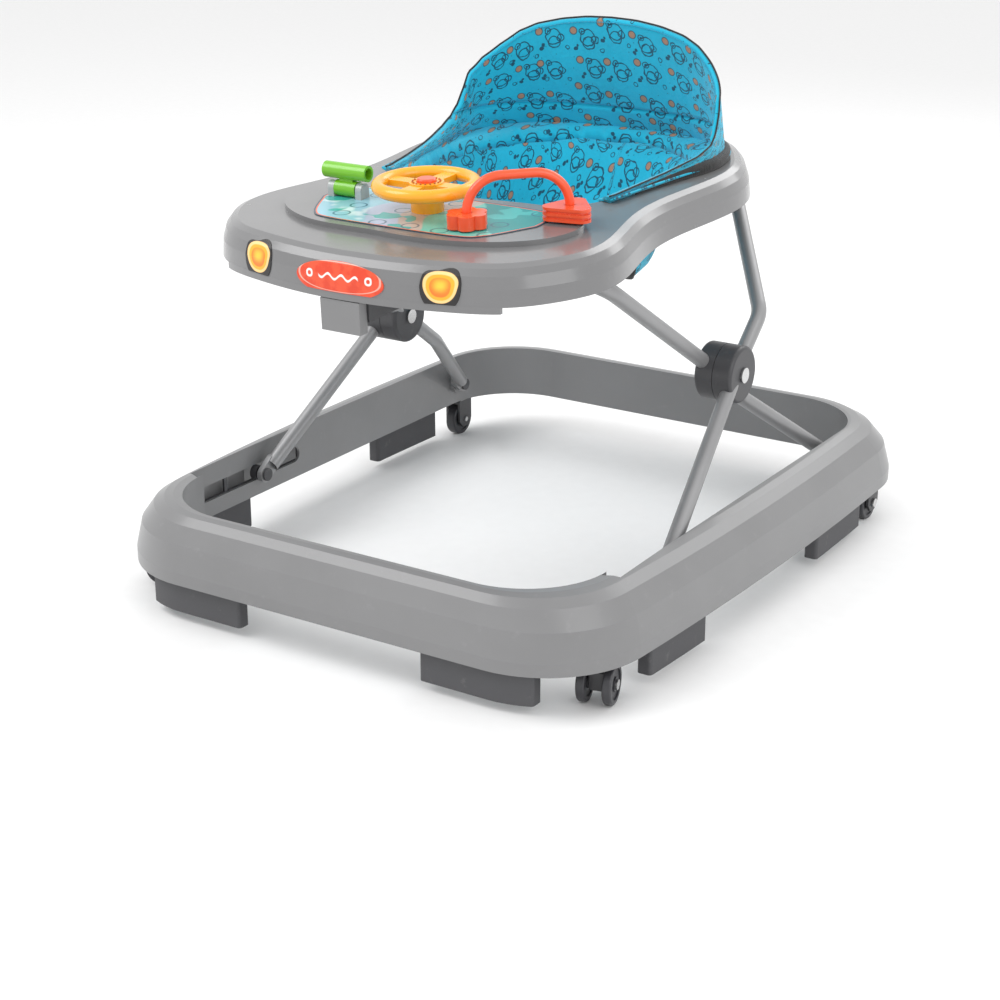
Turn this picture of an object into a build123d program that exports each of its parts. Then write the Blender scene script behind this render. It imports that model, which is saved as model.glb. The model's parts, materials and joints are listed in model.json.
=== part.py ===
"""Folding baby walker: a moulded base ring on casters, a scissor frame of two U tubes,
and a play tray that carries the fabric seat.

Millimetres. +X right, -Y front, +Z up. The origin is on the floor, under the middle of the base.
"""
from build123d import *
from math import cos, hypot, radians, sin
import os

os.makedirs("parts", exist_ok=True)

# ---------------------------------------------------------------- driving sizes
SIDES = {"left": -1, "right": 1}

# base ring: outer foot of the band, and the upright inner wall
BASE_HALF_WIDTH = 302.0
BASE_FRONT = 372.0
BASE_REAR = 372.0
BASE_TOP = 111.0
LIP_BOTTOM = 43.0
LIP_TOP = 56.0
INNER_HALF_WIDTH = 258.0
INNER_FRONT = 341.0
INNER_REAR = 326.0
INNER_BOTTOM = 52.0
BASE_WALL = 3.0
FRONT_NARROWING = 20.0
REAR_NARROWING = 9.0
OUTER_CORNER = 108.0
INNER_CORNER = 88.0
EAR_SETBACK = 86.0
EAR_STEP = 16.0

# wheels and casters
WHEEL_RADIUS = 20.0
REAR_WHEEL_WIDTH = 13.0
REAR_WHEEL_X = 276.0
REAR_WHEEL_Y = 275.0
BRACKET_PLATE = 3.0
CASTER_X = 256.0
CASTER_Y = -281.0
CASTER_TRAIL = 14.0
CASTER_HEADING = {"left": -145.0, "right": -76.0}
TWIN_WHEEL_WIDTH = 9.0
TWIN_WHEEL_OFFSET = 12.5
AXLE_RADIUS = 3.0
STEM_RADIUS = 5.0
MOUNT_Z = 46.0

# rubber stair pads
PAD_BOTTOM = 10.0
PAD_TOP = 50.0
PAD_SETBACK = 8.0
PAD_THICKNESS = 15.0

# scissor frame, seen from the side
TUBE_RADIUS = 8.0
TUBE_WALL = 1.2
HUB_Y = 46.0
HUB_Z = 220.0
LOWER_ARM = 240.0
LOWER_ANGLE = 36.0
UPPER_ARM = 242.0
UPPER_ANGLE = 36.6
TRAY_TILT = 3.0
FRONT_TUBE_X = 196.0
REAR_TUBE_X = 219.0
FOOT_X = 246.5
HUB_RADIUS = 30.0
HUB_CLAMP_WIDTH = 21.4
PIN_RADIUS = 4.0
SLOT_HALF_HEIGHT = 9.0
FOLD_MAX = 31.0
RAISE_MAX = 3.0

# tray
TRAY_DROP = 13.0
SKIRT_HEIGHT = 36.0
PLATEAU_HEIGHT = 41.0
TRAY_WALL = 3.0
CLIP_X = 70.0
PRINT_THICKNESS = 0.6

# seat
FABRIC = 4.0
PADDING = 9.0

# toys
STEERING_RADIUS = 53.0
STEERING_RIM = 6.5
STEERING_Y = -184.0
STEERING_PLANE = 67.0
LEVER_X = -99.0
LEVER_Y = -177.0
LEVER_AXLE_HEIGHT = 50.0
LEVER_LENGTH = 51.0
ARCH_FEET = ((68.0, -218.0), (139.0, -151.0))
ARCH_HEIGHT = 89.0
ARCH_ROD = 4.5

# clearances
RUNNING = 0.05
LOOSE = 0.4

# ---------------------------------------------------------------- worked out from them
FOOT_REACH = LOWER_ARM * cos(radians(LOWER_ANGLE))
FOOT_Z = HUB_Z - LOWER_ARM * sin(radians(LOWER_ANGLE))
REAR_PIVOT_Y = HUB_Y + FOOT_REACH
SLOT_PIN_Y = HUB_Y - FOOT_REACH
FOLDED_PIN_Y = REAR_PIVOT_Y - 2 * LOWER_ARM * cos(radians(LOWER_ANGLE - FOLD_MAX))
TRAY_ANGLE = UPPER_ANGLE + TRAY_TILT
RAIL_ANGLE = UPPER_ANGLE - TRAY_TILT
TRAY_PIVOT = (HUB_Y + UPPER_ARM * cos(radians(TRAY_ANGLE)), HUB_Z + UPPER_ARM * sin(radians(TRAY_ANGLE)))
RAIL_TUBE = (HUB_Y - UPPER_ARM * cos(radians(RAIL_ANGLE)), HUB_Z + UPPER_ARM * sin(radians(RAIL_ANGLE)))
HUB_SPLIT = (FRONT_TUBE_X + REAR_TUBE_X) / 2
OUT = Plane.YZ


def tray_plane(height=0.0):
    """Plane parallel to the tray, the given height above the lower edge of its skirt."""
    tilt = radians(TRAY_TILT)
    drop = TRAY_DROP + height
    y = -TRAY_PIVOT[0] * cos(tilt)
    origin = Vector(0, TRAY_PIVOT[0], TRAY_PIVOT[1]) + Vector(0, -sin(tilt), cos(tilt)) * drop
    origin = origin + Vector(0, cos(tilt), sin(tilt)) * y
    return Plane(origin=origin, x_dir=(1, 0, 0), z_dir=(0, -sin(tilt), cos(tilt)))


def across(x):
    """Plane square to X at the given x: local x runs along +Y, local y along +Z."""
    return Plane(origin=(x, 0, 0), x_dir=(0, 1, 0), z_dir=(1, 0, 0))


def save(part, name):
    """Label one finished piece and write it."""
    part.label = name
    export_step(part, f"parts/{name}.step")


def blend(share, outer, inner):
    """Value between the outer foot of the band (0) and its inner wall (1)."""
    return outer + (inner - outer) * share


def band_outline(share, shrink=0.0):
    """Bowed, rounded outline of the base band, from its outer foot (0) to its inner wall (1)."""
    middle = blend(share, BASE_HALF_WIDTH, INNER_HALF_WIDTH) - shrink
    front_x = middle - FRONT_NARROWING
    rear_x = middle - REAR_NARROWING
    front = blend(share, BASE_FRONT, INNER_FRONT) - shrink
    rear = blend(share, BASE_REAR, INNER_REAR) - shrink
    corner = blend(share, OUTER_CORNER, INNER_CORNER) - shrink
    with BuildSketch() as outline:
        with BuildLine():
            Line((-front_x, -front), (front_x, -front))
            ThreePointArc((front_x, -front), (middle, 0), (rear_x, rear))
            Line((rear_x, rear), (-rear_x, rear))
            ThreePointArc((-rear_x, rear), (-middle, 0), (-front_x, -front))
        make_face()
        fillet(outline.vertices(), radius=corner)
    return outline.sketch


def opening_outline(grow=0.0):
    """Outline of the upright inner wall: straight sides, with a step to each front corner."""
    side = INNER_HALF_WIDTH + grow
    front = INNER_FRONT + grow
    rear = INNER_REAR + grow
    ear_y = EAR_SETBACK - INNER_FRONT
    inner = side - EAR_STEP
    corner = INNER_CORNER + grow
    bend = 1 - cos(radians(45))
    with BuildSketch() as outline:
        with BuildLine():
            Line((0, -front), (inner - corner, -front))
            ThreePointArc(
                (inner - corner, -front),
                (inner - corner * bend, -front + corner * bend),
                (inner, -front + corner),
            )
            Polyline((inner, -front + corner), (inner, ear_y - EAR_STEP / 2), (side, ear_y))
            Line((side, ear_y), (side, rear - corner))
            ThreePointArc(
                (side, rear - corner),
                (side - corner * bend, rear - corner * bend),
                (side - corner, rear),
            )
            Line((side - corner, rear), (0, rear))
            mirror(about=Plane.YZ)
        make_face()
    return outline.sketch


# ---------------------------------------------------------------- base ring
BAND_LEVELS = (
    (LIP_BOTTOM, 0.0), (LIP_TOP, 0.0), (84.0, 0.14), (102.0, 0.42), (109.0, 0.66), (BASE_TOP, 0.86),
)
PAD_SIDE = (BASE_HALF_WIDTH - 52.0, BASE_HALF_WIDTH + 8.0)
PAD_SPANS = {
    "front": (107.0, 226.0, -BASE_FRONT, 47.0 - BASE_FRONT),
    "side_front": (*PAD_SIDE, -240.0, -138.0),
    "side_rear": (*PAD_SIDE, 106.0, 226.0),
}
BOSS_MARGIN = 12.0
REAR_BOSS = 22.0


def pad_box(span, side, low, high, margin=0.0):
    """Upright block over one pad's span, mirrored to its side."""
    x0, x1, y0, y1 = span
    centre = (side * (x0 + x1) / 2, (y0 + y1) / 2, (low + high) / 2)
    with Locations(centre):
        Box(x1 - x0 - 2 * margin, y1 - y0 - 2 * margin, high - low, mode=Mode.INTERSECT)


def pad_strip(span, side, low, high, margin=0.0):
    """Strip that follows the band just inside its lip, cut to one pad's span."""
    with BuildPart() as strip:
        with BuildSketch(Plane.XY.offset(low)):
            add(band_outline(0.0, PAD_SETBACK))
        extrude(amount=high - low)
        with BuildSketch(Plane.XY.offset(low)):
            add(band_outline(0.0, PAD_SETBACK + PAD_THICKNESS))
        extrude(amount=high - low, mode=Mode.SUBTRACT)
        pad_box(span, side, low, high, margin)
    return strip.part


boss_strips = [
    pad_strip(span, side, PAD_TOP, BASE_TOP, BOSS_MARGIN) for span in PAD_SPANS.values() for side in SIDES.values()
]

with BuildPart() as band_cavity:
    for level, share in BAND_LEVELS[1:]:
        with BuildSketch(Plane.XY.offset(level - BASE_WALL)):
            add(band_outline(share, BASE_WALL))
    loft(ruled=True)
    with BuildSketch(Plane.XY.offset(LIP_BOTTOM - BASE_WALL)):
        add(band_outline(0.0, BASE_WALL))
    extrude(amount=LIP_TOP - LIP_BOTTOM)
    with BuildSketch(Plane.XY.offset(INNER_BOTTOM)):
        add(opening_outline(BASE_WALL))
    extrude(amount=BASE_TOP, mode=Mode.SUBTRACT)
    for strip in boss_strips:
        add(strip, mode=Mode.SUBTRACT)
    for side in SIDES.values():
        with Locations((side * CASTER_X, CASTER_Y, (MOUNT_Z + BASE_TOP) / 2)):
            Cylinder(STEM_RADIUS + 7, BASE_TOP - MOUNT_Z, mode=Mode.SUBTRACT)
        with Locations((side * REAR_WHEEL_X, REAR_WHEEL_Y, (MOUNT_Z + BASE_TOP) / 2)):
            Box(REAR_BOSS, REAR_BOSS, BASE_TOP - MOUNT_Z, mode=Mode.SUBTRACT)

PIVOT_BOSS_RADIUS = 12.0
PIVOT_BOSS_LENGTH = 6.0
PIN_TIP_X = INNER_HALF_WIDTH + BASE_WALL + 1.0
SLOT_REAR_Y = -72.0
SLOT_FRONT_Y = FOLDED_PIN_Y - SLOT_HALF_HEIGHT - 1.0
STEM_HOLE_DEPTH = 24.0

with BuildPart() as base_ring:
    for level, share in BAND_LEVELS:
        with BuildSketch(Plane.XY.offset(level)):
            add(band_outline(share))
    loft(ruled=True)
    with BuildSketch(Plane.XY):
        add(opening_outline())
    extrude(amount=2 * BASE_TOP, mode=Mode.SUBTRACT)
    with BuildSketch(Plane.XY):
        add(opening_outline(BASE_WALL))
    extrude(amount=INNER_BOTTOM, mode=Mode.SUBTRACT)
    add(band_cavity.part, mode=Mode.SUBTRACT)
    for side in SIDES.values():
        with BuildSketch(across(side * (INNER_HALF_WIDTH - PIVOT_BOSS_LENGTH))):
            with Locations((REAR_PIVOT_Y, FOOT_Z)):
                Circle(PIVOT_BOSS_RADIUS)
        extrude(amount=side * (PIVOT_BOSS_LENGTH + BASE_WALL))
        with BuildSketch(across(side * (INNER_HALF_WIDTH - PIVOT_BOSS_LENGTH))):
            with Locations((REAR_PIVOT_Y, FOOT_Z)):
                Circle(PIN_RADIUS + RUNNING)
        extrude(amount=side * 2 * PIVOT_BOSS_LENGTH, mode=Mode.SUBTRACT)
        with BuildSketch(across(side * (INNER_HALF_WIDTH - BASE_WALL))):
            with Locations(((SLOT_REAR_Y + SLOT_FRONT_Y) / 2, FOOT_Z)):
                SlotOverall(SLOT_REAR_Y - SLOT_FRONT_Y, 2 * SLOT_HALF_HEIGHT)
        extrude(amount=side * 3 * BASE_WALL, mode=Mode.SUBTRACT)
        with Locations((side * CASTER_X, CASTER_Y, MOUNT_Z + STEM_HOLE_DEPTH / 2)):
            Cylinder(STEM_RADIUS + RUNNING, STEM_HOLE_DEPTH, mode=Mode.SUBTRACT)
save(base_ring.part, "base_ring")


# ---------------------------------------------------------------- guides behind the side slots
GUIDE_PLATE = 2.5
GUIDE_MARGIN = 7.0
GUIDE_POSTS = (-115.0, -196.0)
POST_WIDTH = 5.0


def slot_guide(side):
    """Plate behind one slot, with three windows between two posts."""
    back = side * (INNER_HALF_WIDTH + BASE_WALL)
    length = SLOT_REAR_Y - SLOT_FRONT_Y
    middle = (SLOT_REAR_Y + SLOT_FRONT_Y) / 2
    with BuildPart() as guide:
        with BuildSketch(across(back)):
            with Locations((middle, FOOT_Z)):
                Rectangle(length + 2 * GUIDE_MARGIN, 2 * (SLOT_HALF_HEIGHT + GUIDE_MARGIN))
                Rectangle(length, 2 * SLOT_HALF_HEIGHT - 2, mode=Mode.SUBTRACT)
            for y in GUIDE_POSTS:
                with Locations((y, FOOT_Z)):
                    Rectangle(POST_WIDTH, 2 * SLOT_HALF_HEIGHT)
        extrude(amount=side * GUIDE_PLATE)
    return guide.part


for name, side in SIDES.items():
    save(slot_guide(side), f"slot_guide_{name}")


# ---------------------------------------------------------------- rubber pads
def rubber_pad(span, side):
    """One rubber stair pad with rounded upright corners."""
    with BuildPart() as pad:
        add(pad_strip(span, side, PAD_BOTTOM, PAD_TOP))
        fillet(pad.edges().filter_by(Axis.Z), radius=4)
    return pad.part


for place, span in PAD_SPANS.items():
    for name, side in SIDES.items():
        save(rubber_pad(span, side), f"pad_{place}_{name}")


# ---------------------------------------------------------------- rear wheels
BRACKET_GAP = REAR_WHEEL_WIDTH + 2 * 0.8
BRACKET_DEPTH = 26.0


def rear_bracket(side):
    """Forked bracket with cut corners under a rear corner of the base."""
    x = side * REAR_WHEEL_X
    with BuildPart() as bracket:
        with BuildSketch(across(x)):
            with BuildLine():
                Polyline(
                    (REAR_WHEEL_Y - BRACKET_DEPTH / 2, MOUNT_Z),
                    (REAR_WHEEL_Y + BRACKET_DEPTH / 2, MOUNT_Z),
                    (REAR_WHEEL_Y + BRACKET_DEPTH / 2, WHEEL_RADIUS),
                    (REAR_WHEEL_Y + 6, WHEEL_RADIUS - 9),
                    (REAR_WHEEL_Y - 6, WHEEL_RADIUS - 9),
                    (REAR_WHEEL_Y - BRACKET_DEPTH / 2, WHEEL_RADIUS),
                    close=True,
                )
            make_face()
        extrude(amount=BRACKET_GAP / 2 + BRACKET_PLATE, both=True)
        with Locations((x, REAR_WHEEL_Y, WHEEL_RADIUS)):
            Box(BRACKET_GAP, 2 * WHEEL_RADIUS, 2 * WHEEL_RADIUS + 3, mode=Mode.SUBTRACT)
        with BuildSketch(across(x)):
            with Locations((REAR_WHEEL_Y, WHEEL_RADIUS)):
                Circle(AXLE_RADIUS + RUNNING)
        extrude(amount=BRACKET_GAP, both=True, mode=Mode.SUBTRACT)
    return bracket.part


def wheel(plane, width, bore):
    """Moulded wheel with a raised hub ring and a shallow dish on both faces."""
    with BuildPart() as disc:
        with BuildSketch(plane):
            Circle(WHEEL_RADIUS)
        extrude(amount=width / 2, both=True)
        fillet(disc.edges().filter_by(GeomType.CIRCLE), radius=2)
        for direction in (1, -1):
            with BuildSketch(plane.offset(direction * width / 2)):
                Circle(WHEEL_RADIUS - 5)
                Circle(bore + 4, mode=Mode.SUBTRACT)
            extrude(amount=-direction * 1.5, mode=Mode.SUBTRACT)
        with BuildSketch(plane):
            Circle(bore)
        extrude(amount=width, both=True, mode=Mode.SUBTRACT)
    return disc.part


def headed_pin(plane, radius, length, head, head_length=2.0):
    """Pin along the plane's normal from its origin, with a round head at the far end."""
    with BuildPart() as pin:
        with BuildSketch(plane):
            Circle(radius)
        extrude(amount=length)
        with BuildSketch(plane.offset(length)):
            Circle(head)
        extrude(amount=head_length)
    return pin.part


for name, side in SIDES.items():
    hub = Plane(origin=(side * REAR_WHEEL_X, REAR_WHEEL_Y, WHEEL_RADIUS), x_dir=(0, 1, 0), z_dir=(side, 0, 0))
    save(rear_bracket(side), f"rear_bracket_{name}")
    save(wheel(hub, REAR_WHEEL_WIDTH, AXLE_RADIUS + RUNNING), f"rear_wheel_{name}")
    save(headed_pin(hub.offset(-12), AXLE_RADIUS, 23, 5), f"rear_axle_{name}")


# ---------------------------------------------------------------- front casters
FORK_HALF_WIDTH = TWIN_WHEEL_OFFSET - TWIN_WHEEL_WIDTH / 2 - 0.8
FORK_TOP_RADIUS = 11.0


def caster_side(name):
    """Upright plane through one caster's stem: local x runs along its trail, local y up."""
    heading = radians(CASTER_HEADING[name])
    return Plane(
        origin=(SIDES[name] * CASTER_X, CASTER_Y, 0),
        x_dir=(cos(heading), sin(heading), 0),
        z_dir=(sin(heading), -cos(heading), 0),
    )


def caster_fork(name):
    """Stem, round top plate and the arm that carries both wheels of one caster."""
    plane = caster_side(name)
    with BuildPart() as fork:
        with BuildSketch(plane):
            with BuildLine():
                Polyline(
                    (-FORK_TOP_RADIUS, MOUNT_Z - 0.5),
                    (FORK_TOP_RADIUS, MOUNT_Z - 0.5),
                    (CASTER_TRAIL + 8, WHEEL_RADIUS + 12),
                    (CASTER_TRAIL + 7, WHEEL_RADIUS - 6),
                    (CASTER_TRAIL - 7, WHEEL_RADIUS - 6),
                    (-FORK_TOP_RADIUS, MOUNT_Z - 8),
                    close=True,
                )
            make_face()
        extrude(amount=FORK_HALF_WIDTH, both=True)
        with Locations((SIDES[name] * CASTER_X, CASTER_Y, MOUNT_Z - 2.5)):
            Cylinder(FORK_TOP_RADIUS, 4)
        with Locations((SIDES[name] * CASTER_X, CASTER_Y, MOUNT_Z + STEM_HOLE_DEPTH / 2 - 1)):
            Cylinder(STEM_RADIUS, STEM_HOLE_DEPTH)
        with BuildSketch(plane):
            with Locations((CASTER_TRAIL, WHEEL_RADIUS)):
                Circle(AXLE_RADIUS + RUNNING)
        extrude(amount=2 * WHEEL_RADIUS, both=True, mode=Mode.SUBTRACT)
    return fork.part


def caster_hub(name):
    """Plane at the axle of one caster, its normal along the axle."""
    side = caster_side(name)
    axle = side.from_local_coords((CASTER_TRAIL, WHEEL_RADIUS, 0))
    return Plane(origin=axle, x_dir=side.x_dir, z_dir=side.z_dir)


def twin_wheels(name):
    """Both discs of one caster, joined by the sleeve that turns on the axle ends."""
    hub = caster_hub(name)
    with BuildPart() as pair:
        for direction in (-1, 1):
            add(wheel(hub.offset(direction * TWIN_WHEEL_OFFSET), TWIN_WHEEL_WIDTH, AXLE_RADIUS + RUNNING))
    return pair.part


def caster_axle(name):
    """Axle of one caster, with a cap outside each wheel."""
    hub = caster_hub(name)
    end = TWIN_WHEEL_OFFSET + TWIN_WHEEL_WIDTH / 2 + 0.5
    with BuildPart() as axle:
        with BuildSketch(hub):
            Circle(AXLE_RADIUS)
        extrude(amount=end, both=True)
        for direction in (-1, 1):
            with BuildSketch(hub.offset(direction * end)):
                Circle(5)
            extrude(amount=direction * 1.5)
    return axle.part


for name in SIDES:
    save(caster_fork(name), f"caster_fork_{name}")
    save(caster_axle(name), f"caster_axle_{name}")
    save(twin_wheels(name), f"caster_wheels_{name}")


# ---------------------------------------------------------------- scissor frame
BEND_RADIUS = 38.0
KNEE = 78.0
FOOT_THICKNESS = 6.0
FOOT_HEIGHT = 18.0
FOOT_LENGTH = 34.0
FRONT_CROSS_X = 172.0
REAR_CROSS_X = 116.0


def side_point(y, z, arm, angle):
    """Point an arm's length away in the side view, at an angle above the +Y direction."""
    return (y + arm * cos(radians(angle)), z + arm * sin(radians(angle)))


FRONT_KNEE = side_point(HUB_Y, HUB_Z, KNEE, -LOWER_ANGLE)
REAR_KNEE = side_point(HUB_Y, HUB_Z, KNEE, TRAY_ANGLE)
FRONT_HALF = (
    (FOOT_X, REAR_PIVOT_Y, FOOT_Z),
    (FRONT_TUBE_X, *FRONT_KNEE),
    (FRONT_TUBE_X, HUB_Y, HUB_Z),
    (FRONT_CROSS_X, *RAIL_TUBE),
)
ELBOW_X = REAR_TUBE_X + (REAR_TUBE_X - FOOT_X) * HUB_RADIUS / LOWER_ARM
REAR_HALF = (
    (FOOT_X, SLOT_PIN_Y, FOOT_Z),
    (ELBOW_X, *side_point(HUB_Y, HUB_Z, HUB_RADIUS, LOWER_ANGLE)),
    (ELBOW_X, *REAR_KNEE),
    (REAR_CROSS_X, *TRAY_PIVOT),
)


def bent_tube(half, radius):
    """Solid bar along one half path and its mirror, with every corner bent."""
    start = Vector(*half[0])
    toward = (Vector(*half[1]) - start).normalized()
    first = start + toward * (FOOT_HEIGHT / 2 + 4)
    right = [(first.X, first.Y, first.Z), *half[1:]]
    left = [(-x, y, z) for x, y, z in reversed(right)]
    with BuildPart() as bar:
        with BuildLine() as path:
            FilletPolyline(*right, *left, radius=BEND_RADIUS)
        along = path.line % 0
        with BuildSketch(Plane(origin=path.line @ 0, x_dir=along.cross(Vector(1, 0, 0)), z_dir=along)):
            Circle(radius)
        sweep(path=path.line)
    return bar.part


def frame_tube(half, foot_angle):
    """Bent U tube with a flattened, bored foot at each end and a rivet hole at each hub."""
    foot_y, foot_z = half[0][1:]
    with BuildPart() as tube:
        add(bent_tube(half, TUBE_RADIUS))
        add(bent_tube(half, TUBE_RADIUS - TUBE_WALL), mode=Mode.SUBTRACT)
        for side in SIDES.values():
            with BuildSketch(across(side * FOOT_X)):
                with Locations(Location((foot_y, foot_z), foot_angle)):
                    with Locations((FOOT_LENGTH / 2 - FOOT_HEIGHT / 2, 0)):
                        SlotOverall(FOOT_LENGTH, FOOT_HEIGHT)
            extrude(amount=FOOT_THICKNESS / 2, both=True)
            with BuildSketch(across(side * FOOT_X)):
                with Locations((foot_y, foot_z)):
                    Circle(PIN_RADIUS + RUNNING)
            extrude(amount=FOOT_THICKNESS, both=True, mode=Mode.SUBTRACT)
            with BuildSketch(across(side * HUB_SPLIT)):
                with Locations((HUB_Y, HUB_Z)):
                    Circle(PIN_RADIUS + RUNNING)
            extrude(amount=2 * HUB_CLAMP_WIDTH, both=True, mode=Mode.SUBTRACT)
    return tube.part


def hub_disc(side, half, direction):
    """Round clamp over one tube at the hub; direction is +1 for the outer disc of the pair."""
    face = side * (HUB_SPLIT + direction * 0.3)
    with BuildPart() as disc:
        with BuildSketch(across(face)):
            with Locations((HUB_Y, HUB_Z)):
                Circle(HUB_RADIUS)
        extrude(amount=side * direction * (HUB_CLAMP_WIDTH - 0.6))
        rims = disc.edges().filter_by(GeomType.CIRCLE).sort_by(Axis.X)
        fillet(rims[-1 if side * direction > 0 else 0], radius=4)
        add(bent_tube(half, TUBE_RADIUS + RUNNING), mode=Mode.SUBTRACT)
        with BuildSketch(across(face)):
            with Locations((HUB_Y, HUB_Z)):
                Circle(PIN_RADIUS + RUNNING)
        extrude(amount=2 * HUB_CLAMP_WIDTH, both=True, mode=Mode.SUBTRACT)
    return disc.part


def hub_rivet(side):
    """Rivet through both hub discs of one side, with a head at each end."""
    half_length = HUB_CLAMP_WIDTH + 0.2
    with BuildPart() as rivet:
        with BuildSketch(across(side * HUB_SPLIT)):
            with Locations((HUB_Y, HUB_Z)):
                Circle(PIN_RADIUS)
        extrude(amount=half_length, both=True)
        for direction in (-1, 1):
            with BuildSketch(across(side * HUB_SPLIT + direction * half_length)):
                with Locations((HUB_Y, HUB_Z)):
                    Circle(8)
            extrude(amount=direction * 2)
    return rivet.part


GLIDE_X = INNER_HALF_WIDTH + BASE_WALL - 0.6
GLIDE_REACH = GLIDE_X - FOOT_X + FOOT_THICKNESS / 2 + 0.5

save(frame_tube(FRONT_HALF, 180 - LOWER_ANGLE), "front_frame_tube")
save(frame_tube(REAR_HALF, LOWER_ANGLE), "rear_frame_tube")
for name, side in SIDES.items():
    foot = Plane(origin=(side * PIN_TIP_X, REAR_PIVOT_Y, FOOT_Z), x_dir=(0, 1, 0), z_dir=(-side, 0, 0))
    reach = PIN_TIP_X - FOOT_X + FOOT_THICKNESS / 2 + 0.5
    save(headed_pin(foot, PIN_RADIUS, reach, 7), f"leg_pin_{name}")
    glide = Plane(origin=(side * GLIDE_X, SLOT_PIN_Y, FOOT_Z), x_dir=(0, 1, 0), z_dir=(-side, 0, 0))
    with BuildPart() as slot_glide:
        with BuildSketch(glide):
            Circle(SLOT_HALF_HEIGHT - 1)
        extrude(amount=8)
        with BuildSketch(glide):
            Circle(PIN_RADIUS)
        extrude(amount=GLIDE_REACH)
        with BuildSketch(glide.offset(GLIDE_REACH)):
            Circle(7)
        extrude(amount=2)
    save(slot_glide.part, f"slot_glide_{name}")
    save(hub_disc(side, FRONT_HALF, -1), f"hub_inner_{name}")
    save(hub_disc(side, REAR_HALF, 1), f"hub_outer_{name}")
    save(hub_rivet(side), f"hub_rivet_{name}")


# ---------------------------------------------------------------- play tray
TRAY_HALF = (
    (0, -331), (63, -326), (110, -316), (157, -298), (192, -260), (211, -213), (210, -172), (197, -120),
    (186, -60), (188, 0), (194, 60), (190, 116), (163, 176), (125, 224), (70, 252), (0, 261),
)
OPENING_HALF = (
    (0, -115), (60, -112), (98, -97), (122, -61), (136, 0),
    (142, 55), (134, 110), (108, 160), (60, 196), (0, 206),
)
TRAY_LEVELS = ((0.0, 0.0), (16.0, 1.5), (27.0, 5.0), (33.0, 10.0), (SKIRT_HEIGHT, 17.0))
PLATEAU_HALF = ((0, -262), (80, -258), (122, -240), (152, -210), (154, -150), (128, -126), (0, -124))
CHIN_DEPTH = 6.0
CHIN_HALF_WIDTH = 155.0
CHIN_REAR = -286.0


def closed_curve(half, inset=0.0):
    """Smooth closed outline through a half set of points and its mirror, moved inward by the inset."""
    left = [(-x, y) for x, y in reversed(half[1:-1])]
    points = [*half, *left]
    count = len(points)
    moved = []
    for i in range(count):
        before = points[i - 1]
        after = points[(i + 1) % count]
        along_x = after[0] - before[0]
        along_y = after[1] - before[1]
        length = hypot(along_x, along_y)
        moved.append((points[i][0] - inset * along_y / length, points[i][1] + inset * along_x / length))
    with BuildSketch() as outline:
        with BuildLine():
            Spline(*moved, periodic=True)
        make_face()
    return outline.sketch


def tray_body(inset, low, high):
    """Rounded body of the tray between two heights, all its walls moved inward by the inset."""
    levels = [(low, 0.0), *[level for level in TRAY_LEVELS if low < level[0] < high]]
    drop = SKIRT_HEIGHT - high
    with BuildPart() as body:
        for height, draft in [*levels, TRAY_LEVELS[-1]]:
            with BuildSketch(tray_plane(min(height, high) if height < SKIRT_HEIGHT else SKIRT_HEIGHT - drop)):
                add(closed_curve(TRAY_HALF, inset + draft))
        loft(ruled=True)
    return body.part


def prism(sketch, low, high):
    """Straight prism of one outline between two heights over the tray plane."""
    with BuildPart() as block:
        with BuildSketch(tray_plane(low)):
            add(sketch)
        extrude(amount=high - low)
    return block.part


def plan_block(x0, x1, y0, y1, low, high):
    """Block between two corners in the tray's plan and two heights."""
    with BuildSketch() as outline:
        with Locations(((x0 + x1) / 2, (y0 + y1) / 2)):
            Rectangle(x1 - x0, y1 - y0)
    return prism(outline.sketch, low, high)


def plan_disc(x, y, radius, low, high):
    """Upright cylinder at one point of the tray's plan."""
    with BuildSketch() as outline:
        with Locations((x, y)):
            Circle(radius)
    return prism(outline.sketch, low, high)


def along_x(x0, x1, y, height, radius):
    """Cylinder parallel to X over the tray plane."""
    axis = Plane(origin=tray_plane().from_local_coords((x0, y, height)), x_dir=(0, 1, 0), z_dir=(1, 0, 0))
    with BuildPart() as rod:
        with BuildSketch(axis):
            Circle(radius)
        extrude(amount=x1 - x0)
    return rod.part


RIM_HEIGHT = 22.0
POST_RADIUS = 16.0

with BuildPart() as tray_shell:
    add(tray_body(0, 0, SKIRT_HEIGHT))
    add(prism(closed_curve(PLATEAU_HALF), SKIRT_HEIGHT - 8, PLATEAU_HEIGHT))
    add(prism(closed_curve(OPENING_HALF), -1, SKIRT_HEIGHT + 1), mode=Mode.SUBTRACT)
    with BuildPart(mode=Mode.PRIVATE) as tray_hollow:
        add(tray_body(TRAY_WALL, -1, SKIRT_HEIGHT - TRAY_WALL))
        add(prism(closed_curve(OPENING_HALF, -TRAY_WALL), RIM_HEIGHT - 12, SKIRT_HEIGHT), mode=Mode.SUBTRACT)
    add(tray_hollow.part, mode=Mode.SUBTRACT)
    with BuildPart(mode=Mode.PRIVATE) as chin:
        add(prism(closed_curve(TRAY_HALF), -CHIN_DEPTH, 1))
        add(prism(closed_curve(TRAY_HALF, TRAY_WALL), -CHIN_DEPTH - 1, 2), mode=Mode.SUBTRACT)
        add(plan_block(-CHIN_HALF_WIDTH, CHIN_HALF_WIDTH, -400, CHIN_REAR, -20, 20), mode=Mode.INTERSECT)
    add(chin.part)
save(tray_shell.part, "tray_shell")

# the track that the front cross tube slides in, and the clips round the rear cross tube
TUBE_LINE = -TRAY_DROP
LINE_END = TRAY_PIVOT[0] * cos(radians(TRAY_TILT))


def track_position(fold):
    """Place of the front cross tube along the tray at one fold angle."""
    return LINE_END - 2 * UPPER_ARM * cos(radians(UPPER_ANGLE - fold))


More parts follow.
